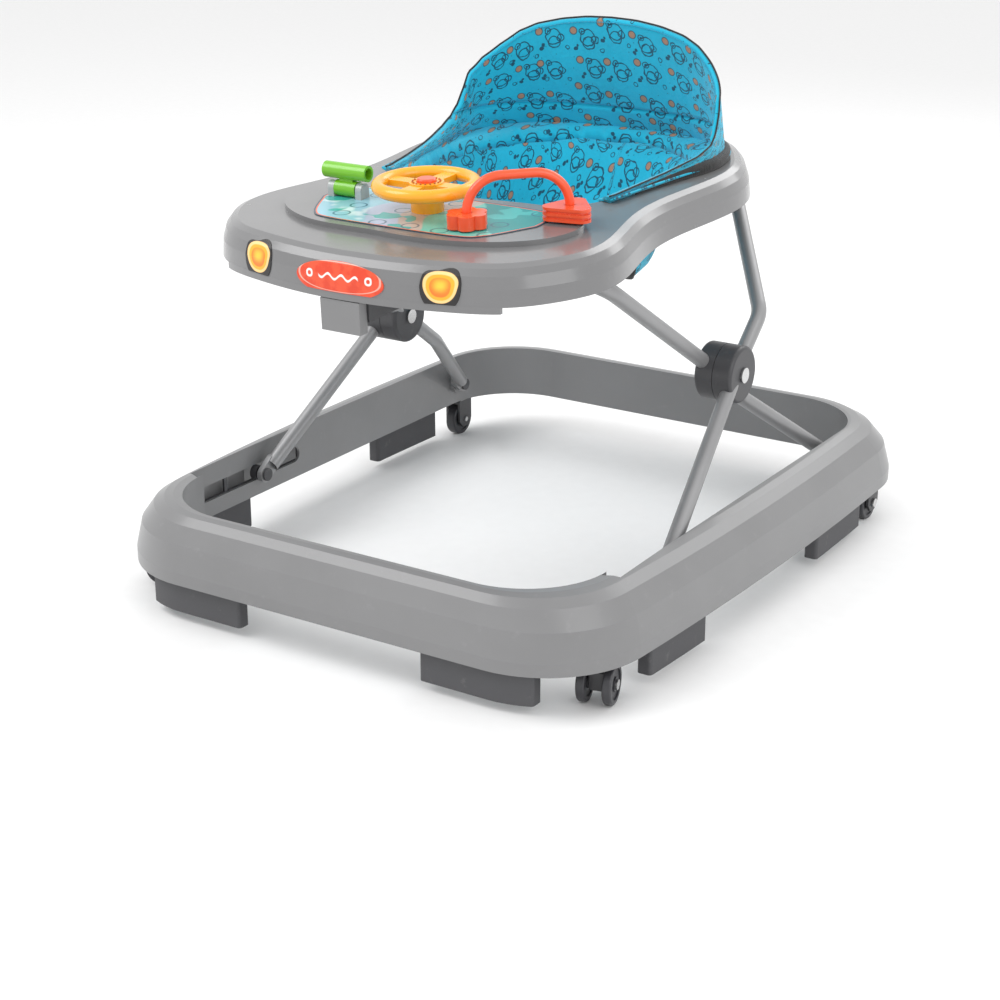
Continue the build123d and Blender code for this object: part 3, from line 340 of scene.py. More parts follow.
def tube_along(bm, points, radius, sides=10, closed=False):
    """Round cord mesh along points."""
    count = len(points)
    rings = []
    for i, point in enumerate(points):
        before = points[i - 1] if closed or i else points[0]
        after = points[(i + 1) % count] if closed or i < count - 1 else points[-1]
        along = (after - before).normalized()
        side = along.cross(Vector((0, 0, 1)))
        side = side.normalized() if side.length > 0.05 else along.cross(Vector((0, 1, 0))).normalized()
        up = side.cross(along)
        turn = [2 * math.pi * k / sides for k in range(sides)]
        spokes = [side * (radius * math.cos(a)) + up * (radius * math.sin(a)) for a in turn]
        rings.append([bm.verts.new(point + spoke) for spoke in spokes])
    for i in range(count if closed else count - 1):
        near, far = rings[i], rings[(i + 1) % count]
        for k in range(sides):
            bm.faces.new((near[k], near[(k + 1) % sides], far[(k + 1) % sides], far[k]))
    if not closed:
        bm.faces.new(rings[0])
        bm.faces.new(list(reversed(rings[-1])))


def thick_grid(name, rows, thickness, material, body, uv_scale=1.0):
    """Closed sheet from a grid of points, thickened inward, with UV in metres along the cloth."""
    bm = bmesh.new()
    uv_layer = bm.loops.layers.uv.new("cloth")
    height, width = len(rows), len(rows[0])
    places = {}
    normals = {}
    for i in range(height):
        for j in range(width):
            across = rows[i][min(j + 1, width - 1)] - rows[i][max(j - 1, 0)]
            down = rows[min(i + 1, height - 1)][j] - rows[max(i - 1, 0)][j]
            normals[i, j] = across.cross(down).normalized()
    middle = width // 2
    up = [0.0]
    for i in range(1, height):
        up.append(up[-1] + (rows[i][middle] - rows[i - 1][middle]).length)
    for i in range(height):
        run = [0.0]
        for j in range(1, width):
            run.append(run[-1] + (rows[i][j] - rows[i][j - 1]).length)
        for j in range(width):
            places[i, j] = (run[j] - run[middle], up[i])
    outer = [[bm.verts.new(rows[i][j]) for j in range(width)] for i in range(height)]
    inner = [
        [bm.verts.new(rows[i][j] + normals[i, j] * thickness[i][j]) for j in range(width)]
        for i in range(height)
    ]

    def face(corners, keys):
        made = bm.faces.new(corners)
        for loop, key in zip(made.loops, keys):
            loop[uv_layer].uv = (places[key][0] * uv_scale, places[key][1] * uv_scale)

    for i in range(height - 1):
        for j in range(width - 1):
            keys = [(i, j), (i, j + 1), (i + 1, j + 1), (i + 1, j)]
            face([outer[a][b] for a, b in keys], keys)
            face([inner[a][b] for a, b in reversed(keys)], list(reversed(keys)))
    rim = [(0, j) for j in range(width)] + [(i, width - 1) for i in range(1, height)]
    rim += [(height - 1, j) for j in range(width - 2, -1, -1)] + [(i, 0) for i in range(height - 2, 0, -1)]
    for a, b in zip(rim, rim[1:] + rim[:1]):
        face([outer[a[0]][a[1]], inner[a[0]][a[1]], inner[b[0]][b[1]], outer[b[0]][b[1]]], [a, a, b, b])
    bmesh.ops.recalc_face_normals(bm, faces=bm.faces)
    mesh = bpy.data.meshes.new(name)
    bm.to_mesh(mesh)
    bm.free()
    for polygon in mesh.polygons:
        polygon.use_smooth = True
    obj = bpy.data.objects.new(name, mesh)
    bpy.context.scene.collection.objects.link(obj)
    mesh.materials.append(material)
    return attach(obj, body)


# ---------------------------------------------------------------- cloth materials
PRINT_PITCH = 0.038


def printed_cloth():
    """Turquoise cotton with small line doodles, notes and brown buttons."""
    material, t, shader = new_material("printed_cloth")
    where = t.add("ShaderNodeUVMap", uv_map="cloth").outputs[0]
    wobble = t.add("ShaderNodeTexNoise", inputs={"Scale": 160.0, "Detail": 1.0})
    t.link(where, wobble.inputs["Vector"])
    shift = t.add("ShaderNodeVectorMath", operation="MULTIPLY_ADD")
    t.link(wobble.outputs["Color"], shift.inputs[0])
    shift.inputs[1].default_value = (0.0035, 0.0035, 0.0)
    t.link(where, shift.inputs[2])
    drawn = shift.outputs[0]

    def cells(pitch, jitter, vector):
        """Distance in metres to the nearest motif centre of one layer."""
        spacing = {"Scale": 1 / pitch, "Randomness": jitter}
        node = t.add("ShaderNodeTexVoronoi", voronoi_dimensions="2D", inputs=spacing)
        t.link(vector, node.inputs["Vector"])
        return t.math("MULTIPLY", node.outputs["Distance"], pitch)

    def offset(vector, x, y):
        node = t.add("ShaderNodeVectorMath", operation="ADD")
        t.link(vector, node.inputs[0])
        node.inputs[1].default_value = (x, y, 0)
        return node.outputs[0]

    def ring(distance, radius, half_line):
        """Mask of a thin circle."""
        away = t.math("ABSOLUTE", t.math("SUBTRACT", distance, radius))
        return t.ramp(away, half_line * 0.7, half_line * 1.5, 1.0, 0.0)

    def disc(distance, radius):
        return t.ramp(distance, radius * 0.85, radius * 1.1, 1.0, 0.0)

    head = cells(PRINT_PITCH, 0.35, drawn)
    body = cells(PRINT_PITCH, 0.35, offset(drawn, 0.0, 0.0064))
    ear = cells(PRINT_PITCH, 0.35, offset(drawn, 0.0062, -0.0078))
    tail = cells(PRINT_PITCH, 0.35, offset(drawn, -0.0082, 0.0022))
    lines = ring(head, 0.0092, 0.0007)
    for mask in (
        ring(body, 0.0070, 0.0007),
        ring(ear, 0.0034, 0.0006),
        ring(tail, 0.0042, 0.0006),
        disc(ear, 0.0014),
    ):
        lines = t.math("MAXIMUM", lines, mask)
    note = cells(PRINT_PITCH, 0.35, offset(drawn, 0.0165, 0.0115))
    stem = cells(PRINT_PITCH, 0.35, offset(drawn, 0.0140, 0.0080))
    lines = t.math("MAXIMUM", lines, disc(note, 0.0026))
    lines = t.math("MAXIMUM", lines, disc(stem, 0.0019))
    bubble = cells(PRINT_PITCH, 0.35, offset(drawn, -0.0155, 0.0145))
    lines = t.math("MAXIMUM", lines, ring(bubble, 0.0024, 0.0005))
    dots = cells(PRINT_PITCH / 2, 0.9, offset(where, 0.003, 0.007))
    lines = t.math("MAXIMUM", lines, t.math("MULTIPLY", disc(dots, 0.0007), 0.7))
    button = cells(PRINT_PITCH, 0.35, offset(where, 0.0185, -0.0075))
    button_mask = disc(button, 0.0050)
    with_lines = t.mix(t.math("MULTIPLY", lines, 0.9), (0.010, 0.44, 0.64, 1), (0.006, 0.04, 0.08, 1))
    brown = t.mix(ring(button, 0.0046, 0.0007), (0.42, 0.19, 0.09, 1), (0.03, 0.03, 0.04, 1))
    printed = t.mix(t.math("MULTIPLY", button_mask, 0.9), with_lines, brown)
    woven = t.add("ShaderNodeGroup", node_tree=WEAVE)
    woven.inputs["Threads per metre"].default_value = 1100.0
    woven.inputs["Thread height"].default_value = 0.0001
    t.link(where, woven.inputs["Vector"])
    t.link(printed, woven.inputs["Colour"])
    t.link(woven.outputs["Colour"], shader.inputs["Base Color"])
    t.link(woven.outputs["Roughness"], shader.inputs["Roughness"])
    shader.inputs["Sheen Weight"].default_value = 0.25
    shader.inputs["Sheen Roughness"].default_value = 0.5
    shader.inputs["Specular IOR Level"].default_value = 0.25
    crumple = t.math("MULTIPLY", t.noise(where, 42.0, 4, 0.55), 0.0022)
    bump(t, t.math("ADD", woven.outputs["Height"], crumple), shader)
    return material


def plain_cloth(name, colour, threads=1300.0):
    """Plain tape or webbing, woven on object coordinates."""
    material, t, shader = new_material(name)
    where = t.add("ShaderNodeTexCoord").outputs["Object"]
    woven = t.add("ShaderNodeGroup", node_tree=WEAVE)
    woven.inputs["Colour"].default_value = (*colour, 1)
    woven.inputs["Threads per metre"].default_value = threads
    t.link(where, woven.inputs["Vector"])
    t.link(woven.outputs["Colour"], shader.inputs["Base Color"])
    t.link(woven.outputs["Roughness"], shader.inputs["Roughness"])
    shader.inputs["Sheen Weight"].default_value = 0.2
    bump(t, woven.outputs["Height"], shader)
    return material


PRINTED = printed_cloth()
BLACK_TAPE = plain_cloth("black_tape", (0.011, 0.011, 0.012))

# ---------------------------------------------------------------- seat back
BACK_BASE = (
    (-133, -66), (-139, -20), (-148, 35), (-157, 80), (-158, 112), (-147, 152), (-118, 188), (-70, 210),
    (0, 217), (70, 210), (118, 188), (147, 152), (158, 112), (157, 80), (148, 35), (139, -20), (133, -66),
)
BACK_TOP = (
    (-136, -100), (-142, -50), (-152, 0), (-160, 45), (-161, 75), (-150, 108), (-118, 137), (-70, 153),
    (0, 158), (70, 153), (118, 137), (150, 108), (161, 75), (160, 45), (152, 0), (142, -50), (136, -100),
)
BACK_TOP_Z = 0.560
BACK_OUTLINE = (
    (0, 549), (30, 548), (60, 544), (90, 537), (110, 528),
    (130, 513), (145, 499), (157, 480), (166, 455), (172, 425),
)
WING_FRONT = (
    (127, 510), (120, 490), (112, 469), (102, 451), (90, 440),
    (68, 432), (42, 427), (19, 423), (-21, 418), (-60, 414),
)
SEAT_LEVEL = 0.0364
BACK_COLUMNS = 180
BACK_ROWS = 64
PANEL = 0.0085
EDGE = 0.0035
PIPING = 0.0009
SEAM_HEIGHT = 0.2


def level_of(points, value):
    """Height read off a falling or rising list of (place, height) pairs in mm."""
    ordered = sorted(points)
    if value <= ordered[0][0]:
        return ordered[0][1]
    for (a, low), (b, high) in zip(ordered, ordered[1:]):
        if value <= b:
            return low + (high - low) * (value - a) / (b - a)
    return ordered[-1][1]


def back_columns():
    """Foot and full-height end of each column of the seat back's surface."""
    low = catmull([Vector((x, y, 0)) * MM for x, y in BACK_BASE], BACK_COLUMNS)
    high = catmull([Vector((x, y, 0)) * MM for x, y in BACK_TOP], BACK_COLUMNS)
    return [(tray_point(a.x, a.y, SEAT_LEVEL), Vector((b.x, b.y, BACK_TOP_Z))) for a, b in zip(low, high)]


def back_top_share(foot, head):
    """Share of the column's height where the outline from the front and the wing's edge cut it."""
    low, high = 0.0, 1.0
    for _ in range(24):
        share = (low + high) / 2
        p = foot.lerp(head, share)
        roof = level_of(BACK_OUTLINE, abs(p.x) / MM) * MM
        wing = level_of(WING_FRONT, p.y / MM) * MM if p.y < 0.127 else 1.0
        low, high = (share, high) if p.z < min(roof, wing) else (low, share)
    return max(low, 0.02)


def seat_back():
    """Padded back panel, with soft folds where it turns into the wings and a seam low across it."""
    columns = []
    thickness = []
    for u, (foot, head) in enumerate(back_columns()):
        share = back_top_share(foot, head)
        column = []
        depth = []
        for k in range(BACK_ROWS + 1):
            v = k / BACK_ROWS
            p = foot.lerp(head, share * v)
            across = (u / BACK_COLUMNS - 0.5) * 2
            height = share * v
            swell = math.sin(math.pi * min(v, 1)) ** 0.5 if v > 0 else 0
            fold = 0.0016 * math.sin(9 * across + 5 * height) * math.sin(math.pi * v)
            crease = math.exp(-(((abs(across) - 0.55 - 0.2 * height) / 0.025) ** 2))
            fold += 0.0022 * crease * math.sin(math.pi * v)
            stitch = math.exp(-(((height - SEAM_HEIGHT + 0.06 * across * across) / 0.012) ** 2))
            seam = 0.0035 * stitch * (abs(across) < 0.6)
            column.append(p)
            depth.append(EDGE + (PANEL - EDGE) * swell + fold - seam)
        columns.append(column)
        thickness.append(depth)
    rows = [[columns[j][i] for j in range(BACK_COLUMNS + 1)] for i in range(BACK_ROWS + 1)]
    depth = [[thickness[j][i] for j in range(BACK_COLUMNS + 1)] for i in range(BACK_ROWS + 1)]
    back = thick_grid("seat_back_fabric", rows, depth, PRINTED, "tray")
    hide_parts("seat_backrest")
    edge = bmesh.new()
    top = [rows[-1][j] + (rows[-1][j] - rows[-2][j]).normalized() * 0.0008 for j in range(BACK_COLUMNS + 1)]
    tube_along(edge, top, PIPING)
    piping = to_object("seat_back_piping", edge, BLACK_TAPE, "tray")
    return back

# ---------------------------------------------------------------- seat sling and binding
OPENING_HALF = (
    (0, -115), (60, -112), (98, -97), (122, -61), (136, 0),
    (142, 55), (134, 110), (108, 160), (60, 196), (0, 206),
)
SLING_LINE = (
    (198, 402), (160, 350), (119, 326), (84, 303), (34, 292),
    (-4, 303), (-42, 328), (-80, 366), (-106, 399),
)
HOLE_HALF = ((25, -58), (60, -76), (100, -66), (112, -20), (106, 35), (70, 58), (30, 52), (20, 0))
SLING_STEP = 0.004
SLING_THICKNESS = 0.0022


def outline_points(half, count, mirrored=True):
    """Closed smooth outline in metres from points in mm, with its mirror where asked."""
    points = [Vector((x, y, 0)) * MM for x, y in half]
    if mirrored:
        points += [Vector((-x, y, 0)) * MM for x, y in reversed(half[1:-1])]
    return catmull(points, count, closed=True)


def inside(outline, x, y):
    """Whether a point of the plan lies inside a closed outline."""
    found = False
    for a, b in zip(outline, outline[1:] + outline[:1]):
        if (a.y > y) != (b.y > y) and x < a.x + (b.x - a.x) * (y - a.y) / (b.y - a.y):
            found = not found
    return found


def edge_distance(outline, x, y):
    """Distance in the plan to the nearest point of a closed outline."""
    return min(math.hypot(p.x - x, p.y - y) for p in outline)


OPENING = outline_points(OPENING_HALF, 160)
HOLES = [[Vector((side * p.x, p.y, 0)) for p in outline_points(HOLE_HALF, 72, False)] for side in (-1, 1)]


def sling_height(x, y):
    """Height of the hanging seat at a place in its plan."""
    level = level_of(SLING_LINE, y / MM) * MM
    rim = tray_point(0, y, 0.026).z
    near = min(edge_distance(OPENING, x, y) / 0.055, 1)
    hang = near * near * (3 - 2 * near)
    side = min(abs(x) / 0.135, 1) ** 4 * 0.35
    return level + (rim - level) * max(1 - hang, side)


def sling_run(y):
    """Length along the sling's middle line from its lowest point, in metres."""
    steps = 24
    places = [y * k / steps for k in range(steps + 1)]
    heights = [level_of(SLING_LINE, place / MM) * MM for place in places]
    length = sum(math.hypot(y / steps, b - a) for a, b in zip(heights, heights[1:]))
    return math.copysign(length, y)


def snap(outline, point, reach):
    """Moves a grid point onto the nearest point of an outline when it is within reach."""
    nearest = min(outline, key=lambda p: (p.x - point[0]) ** 2 + (p.y - point[1]) ** 2)
    close = math.hypot(nearest.x - point[0], nearest.y - point[1]) < reach
    return (nearest.x, nearest.y) if close else point


def seat_sling():
    """Cloth seat that hangs in the opening, with two leg holes and a strap between them."""
    bm = bmesh.new()
    uv_layer = bm.loops.layers.uv.new("cloth")
    columns = int(0.30 / SLING_STEP)
    rows = int(0.34 / SLING_STEP)
    grid = {}
    for i in range(columns + 1):
        for j in range(rows + 1):
            x = -0.15 + i * SLING_STEP
            y = -0.125 + j * SLING_STEP
            edge = 0.75 * SLING_STEP
            if not inside(OPENING, x, y) and edge_distance(OPENING, x, y) > edge:
                continue
            if any(inside(hole, x, y) and edge_distance(hole, x, y) > edge for hole in HOLES):
                continue
            x, y = snap(OPENING, (x, y), edge)
            for hole in HOLES:
                x, y = snap(hole, (x, y), edge)
            wrinkle = 0.0015 * math.sin(75 * x + 30 * y) * math.sin(40 * y)
            grid[i, j] = bm.verts.new((x * 0.985, y, sling_height(x, y) + wrinkle))
    for i in range(columns):
        for j in range(rows):
            corners = [grid.get(key) for key in ((i, j), (i + 1, j), (i + 1, j + 1), (i, j + 1))]
            if all(corners):
                face = bm.faces.new(corners)
                for loop in face.loops:
                    place = loop.vert.co
                    climb = place.z - level_of(SLING_LINE, place.y / MM) * MM
                    loop[uv_layer].uv = (place.x + math.copysign(climb, place.x), sling_run(place.y))
    only_z = {"use_axis_x": False, "use_axis_y": False, "use_axis_z": True}
    bmesh.ops.smooth_vert(bm, verts=bm.verts, factor=0.5, **only_z)
    bmesh.ops.recalc_face_normals(bm, faces=bm.faces)
    bmesh.ops.solidify(bm, geom=bm.faces[:], thickness=SLING_THICKNESS)
    cloth = to_object("seat_sling_fabric", bm, PRINTED, "tray")
    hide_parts("seat_sling")
    bindings = bmesh.new()
    for hole in HOLES:
        ring = [Vector((p.x * 0.985, p.y, sling_height(p.x, p.y))) for p in hole]
        tube_along(bindings, ring, 0.0032, 8, closed=True)
    binding = to_object("leg_hole_bindings", bindings, BLACK_TAPE, "tray")
    return cloth, binding


def seat_apron():
    """Cloth that joins the foot of the seat back to the top of the sling, over the edge of the opening."""
    feet = [foot for foot, head in back_columns()]
    rows = []
    lines = (
        (0.0, 0.006, 0.0), (0.35, 0.003, 0.0), (1.0, 0.0015, 0.004), (1.0, -0.004, 0.006), (1.0, -0.014, 0.007),
    )
    for share, lift, inward in lines:
        row = []
        for i, foot in enumerate(feet):
            along = (feet[min(i + 1, len(feet) - 1)] - feet[max(i - 1, 0)]).normalized()
            inner = foot + along.cross(TRAY_UP).normalized() * -PANEL * 0.6
            edge = min(OPENING, key=lambda p: (p.x - inner.x) ** 2 + (p.y - inner.y) ** 2)
            pull = 1 - inward / max(math.hypot(edge.x, edge.y - 0.05), 0.05)
            lip = tray_point(edge.x * pull, 0.05 + (edge.y - 0.05) * pull, SEAT_LEVEL)
            row.append(inner.lerp(lip, share) + TRAY_UP * lift)
        rows.append(row)
    thickness = [[0.002] * len(feet) for _ in rows]
    apron = thick_grid("seat_apron_fabric", rows, thickness, PRINTED, "tray")
    return apron


def seat_rim():
    """Black binding on the tray round the back of the opening, between the tray and the seat back."""
    low = catmull([Vector((x, y, 0)) * MM for x, y in BACK_BASE], 160)
    bm = bmesh.new()
    line = [tray_point(p.x * 0.985, p.y * 0.985 - 0.001, 0.0395) for p in low if p.y > -0.03]
    rings = []
    for i, point in enumerate(line):
        along = (line[min(i + 1, len(line) - 1)] - line[max(i - 1, 0)]).normalized()
        side = TRAY_UP.cross(along).normalized()
        profile = ((-0.001, -0.0032), (0.0085, -0.0032), (0.0085, 0.0045), (0.005, 0.0075), (-0.001, 0.0085))
        share = 0.35 + 0.65 * min(max((point.y + 0.03) / 0.11, 0), 1)
        ring = []
        for a, b in profile:
            lift = -0.0032 + (b + 0.0032) * share
            ring.append(bm.verts.new(point + side * a * share + TRAY_UP * lift))
        rings.append(ring)
    for near, far in zip(rings, rings[1:]):
        for k in range(len(near)):
            bm.faces.new((near[k], near[(k + 1) % len(near)], far[(k + 1) % len(far)], far[k]))
    bm.faces.new(rings[0])
    bm.faces.new(list(reversed(rings[-1])))
    rim = to_object("seat_edge_binding", bm, BLACK_TAPE, "tray")
    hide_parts("seat_rim")


back = seat_back()
sling, hole_binding = seat_sling()
seat_rim()
apron = seat_apron()

# ---------------------------------------------------------------- stickers and the dashboard print
PRINT_HALF = (
    (0, -250), (73, -248), (97, -236), (119, -196), (124, -180), (118, -150), (96, -136), (0, -134),
)
PRINT_HEIGHT = 0.0412
PRINT_THICKNESS = 0.0006


def place_in(t, node, mirrored=False):
    """Object-space x and z measured from the middle of a CAD node, in metres."""
    low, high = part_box(node)
    middle = (low + high) / 2
    split = t.add("ShaderNodeSeparateXYZ")
    t.link(t.add("ShaderNodeTexCoord").outputs["Object"], split.inputs[0])
    x = t.math("ABSOLUTE", split.outputs[0]) if mirrored else split.outputs[0]
    return t.math("SUBTRACT", x, abs(middle.x)), t.math("SUBTRACT", split.outputs[2], middle.z)


def oval(t, x, z, half_x, half_z):
    """Elliptical radius: 1 on the oval."""
    a = t.math("POWER", t.math("ABSOLUTE", t.math("DIVIDE", x, half_x)), 2.4)
    b = t.math("POWER", t.math("ABSOLUTE", t.math("DIVIDE", z, half_z)), 2.4)
    return t.math("POWER", t.math("ADD", a, b), 1 / 2.4)


def finish_sticker(t, shader, colour):
    """Glossy vinyl with faint mottling over a printed colour."""
    made = t.add("ShaderNodeGroup", node_tree=MOULDED)
    t.link(t.add("ShaderNodeTexCoord").outputs["Object"], made.inputs["Vector"])
    t.link(colour, made.inputs["Colour"])
    made.inputs["Roughness"].default_value = 0.25
    made.inputs["Scuff"].default_value = 0.1
    t.link(made.outputs["Colour"], shader.inputs["Base Color"])
    t.link(made.outputs["Roughness"], shader.inputs["Roughness"])
    bump(t, made.outputs["Height"], shader)


def headlight_material():
    """Amber lamp: pale border, black outline and a bright middle."""
    material, t, shader = new_material("headlight_print")
    x, z = place_in(t, "headlight_right", mirrored=True)
    lamp = t.math("ADD", z, 0.0008)
    narrow = t.math("ADD", 0.0186, t.math("MULTIPLY", z, 0.25))
    ratio = t.math("DIVIDE", x, narrow)
    radius = oval(t, ratio, lamp, 1.0, 0.0163)
    core = t.ramp(oval(t, ratio, t.math("ADD", z, -0.001), 1.0, 0.016), 0.05, 0.55)
    glow = t.mix(core, (1.0, 0.55, 0.05, 1), (0.85, 0.2, 0.02, 1))
    inner = t.mix(t.ramp(radius, 0.50, 0.56), glow, (0.98, 0.42, 0.03, 1))
    bordered = t.mix(t.ramp(radius, 0.68, 0.73), inner, (0.98, 0.62, 0.25, 1))
    outlined = t.mix(t.ramp(radius, 0.84, 0.88), bordered, (0.02, 0.018, 0.018, 1))
    finish_sticker(t, shader, outlined)
    return material


def badge_material():
    """Red-orange oval with a pale rim, a wave and two dots; no lettering."""
    material, t, shader = new_material("badge_print")
    x, z = place_in(t, "front_badge")
    radius = oval(t, x, z, 0.049, 0.0143)
    wave = t.math("MULTIPLY", t.math("SINE", t.math("MULTIPLY", x, 420.0)), 0.0022)
    stripe = t.ramp(t.math("ABSOLUTE", t.math("SUBTRACT", z, wave)), 0.0008, 0.0014, 1.0, 0.0)
    stripe = t.math("MULTIPLY", stripe, t.ramp(t.math("ABSOLUTE", x), 0.021, 0.023, 1.0, 0.0))
    side = t.math("SUBTRACT", t.math("ABSOLUTE", x), 0.033)
    dots = t.ramp(oval(t, side, z, 0.0042, 0.0042), 0.85, 1.0, 1.0, 0.0)
    hollow = t.ramp(oval(t, side, z, 0.002, 0.002), 0.85, 1.1, 0.0, 1.0)
    motif = t.math("MAXIMUM", stripe, t.math("MULTIPLY", dots, hollow))
    mottle = t.ramp(t.noise(t.add("ShaderNodeTexCoord").outputs["Object"], 90.0), 0.4, 0.6)
    red = t.mix(mottle, (0.70, 0.055, 0.018, 1), (0.78, 0.085, 0.03, 1))
    coloured = t.mix(motif, red, (0.85, 0.82, 0.78, 1))
    rim = t.ramp(t.math("ABSOLUTE", t.math("SUBTRACT", radius, 0.93)), 0.012, 0.03, 0.6, 0.0)
    finish_sticker(t, shader, t.mix(rim, coloured, (0.85, 0.6, 0.5, 1)))
    return material


def print_material():
    """Dashboard picture: sky, hills and water shapes with a dark and orange border."""
    material, t, shader = new_material("dash_picture")
    where = t.add("ShaderNodeTexCoord").outputs["Object"]
    edge = t.add("ShaderNodeAttribute", attribute_name="edge").outputs["Fac"]
    split = t.add("ShaderNodeSeparateXYZ")
    t.link(where, split.inputs[0])
    x, y = split.outputs[0], split.outputs[1]
    hill = t.math("MULTIPLY", t.math("SINE", t.math("MULTIPLY", y, 55.0)), 0.012)
    across = t.math("ADD", x, hill)
    sky = t.mix(t.ramp(t.noise(where, 26.0, 2), 0.52, 0.60), (0.28, 0.55, 0.66, 1), (0.62, 0.78, 0.84, 1))
    lilac = t.mix(t.ramp(across, -0.045, -0.040), sky, (0.42, 0.50, 0.66, 1))
    sand = t.mix(t.ramp(across, -0.006, -0.003), lilac, (0.50, 0.44, 0.40, 1))
    mint = t.mix(t.ramp(across, 0.022, 0.025), sand, (0.14, 0.55, 0.46, 1))
    slant = t.math("ADD", across, t.math("MULTIPLY", y, 0.9))
    teal = t.mix(t.ramp(slant, -0.105, -0.101), mint, (0.012, 0.27, 0.26, 1))
    bright = t.mix(t.ramp(t.noise(where, 38.0, 1), 0.62, 0.65), teal, (0.05, 0.42, 0.40, 1))
    spacing = {"Scale": 24.0, "Randomness": 0.6}
    loops = t.add("ShaderNodeTexVoronoi", voronoi_dimensions="2D", inputs=spacing)
    t.link(where, loops.inputs["Vector"])
    away = t.math("ABSOLUTE", t.math("SUBTRACT", t.math("DIVIDE", loops.outputs["Distance"], 24.0), 0.008))
    drawn = t.mix(t.ramp(away, 0.0008, 0.0013, 0.7, 0.0), bright, (0.01, 0.10, 0.16, 1))
    framed = t.mix(t.ramp(edge, 0.0030, 0.0034, 1.0, 0.0), drawn, (0.80, 0.16, 0.08, 1))
    finish_sticker(t, shader, t.mix(t.ramp(edge, 0.0016, 0.0019, 1.0, 0.0), framed, (0.03, 0.06, 0.09, 1)))
    return material


def dash_print():
    """Thin printed panel on the raised part of the tray, each point knowing its distance from the edge."""
    outline = outline_points(PRINT_HALF, 160)
    middle = Vector((0, -0.19, 0))
    bm = bmesh.new()
    edge = bm.verts.layers.float.new("edge")
    insets = (0.0, 0.0010, 0.0017, 0.0024, 0.0032, 0.0040, 0.008)
    rings = []
    for inset in insets:
        ring = []
        for i, point in enumerate(outline):
            along = (outline[(i + 1) % len(outline)] - outline[i - 1]).normalized()
            inward = Vector((-along.y, along.x, 0))
            inward = inward if inward.dot(middle - point) > 0 else -inward
            spot = point + inward * inset
            vertex = bm.verts.new(tray_point(spot.x, spot.y, PRINT_HEIGHT + PRINT_THICKNESS))
            vertex[edge] = inset
            ring.append(vertex)
        rings.append(ring)
    for near, far in zip(rings, rings[1:]):
        for k in range(len(near)):
            bm.faces.new((near[k], near[(k + 1) % len(near)], far[(k + 1) % len(far)], far[k]))
    centre = bm.verts.new(tray_point(0, middle.y, PRINT_HEIGHT + PRINT_THICKNESS))
    centre[edge] = 0.1
    for k, vertex in enumerate(rings[-1]):
        bm.faces.new((vertex, rings[-1][(k + 1) % len(outline)], centre))
    skirt = []
    for vertex in rings[0]:
        lower = bm.verts.new(vertex.co - TRAY_UP * PRINT_THICKNESS)
        skirt.append(lower)
    for k in range(len(skirt)):
        after = (k + 1) % len(skirt)
        bm.faces.new((rings[0][k], skirt[k], skirt[after], rings[0][after]))
    bm.faces.new(skirt)
    panel = to_object("dash_picture", bm, print_material(), "tray", smooth=False)
    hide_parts("dash_print")


LAMP = headlight_material()
for light in ("headlight_left", "headlight_right"):
    paint(frame["nodes"][light], LAMP)
paint(frame["nodes"]["front_badge"], badge_material())
dash_print()

# ---------------------------------------------------------------- repeated details
def repeat_tree():
    """Geometry Nodes: small rounded bars spaced along the object's own line, turned to follow it."""
    tree = bpy.data.node_groups.new("BarsAlongLine", "GeometryNodeTree")
    tree.interface.new_socket("Geometry", in_out="INPUT", socket_type="NodeSocketGeometry")
    for label, default in (("Spacing", 0.004), ("Length", 0.0026), ("Radius", 0.0004)):
        socket = tree.interface.new_socket(label, in_out="INPUT", socket_type="NodeSocketFloat")
        socket.default_value = default
    tree.interface.new_socket("Material", in_out="INPUT", socket_type="NodeSocketMaterial")
    tree.interface.new_socket("Geometry", in_out="OUTPUT", socket_type="NodeSocketGeometry")
    t = Tree(tree)
    given, result = t.add("NodeGroupInput"), t.add("NodeGroupOutput")
    curve = t.add("GeometryNodeMeshToCurve")
    t.link(given.outputs["Geometry"], curve.inputs["Mesh"])
    spaced = t.add("GeometryNodeResampleCurve", mode="LENGTH")
    t.link(curve.outputs[0], spaced.inputs["Curve"])
    t.link(given.outputs["Spacing"], spaced.inputs["Length"])
    bar = t.add("GeometryNodeMeshCylinder", inputs={"Vertices": 8})
    t.link(given.outputs["Radius"], bar.inputs["Radius"])
    t.link(given.outputs["Length"], bar.inputs["Depth"])
    turned = t.add("FunctionNodeAlignRotationToVector", axis="Z")
    t.link(t.add("GeometryNodeInputTangent").outputs[0], turned.inputs["Vector"])
    placed = t.add("GeometryNodeInstanceOnPoints")
    t.link(spaced.outputs[0], placed.inputs["Points"])
    t.link(bar.outputs["Mesh"], placed.inputs["Instance"])
    t.link(turned.outputs[0], placed.inputs["Rotation"])
    real = t.add("GeometryNodeRealizeInstances")
    t.link(placed.outputs[0], real.inputs[0])
    painted = t.add("GeometryNodeSetMaterial")
    t.link(real.outputs[0], painted.inputs["Geometry"])
    t.link(given.outputs["Material"], painted.inputs["Material"])
    t.link(painted.outputs[0], result.inputs[0])
    return tree


BARS = repeat_tree()


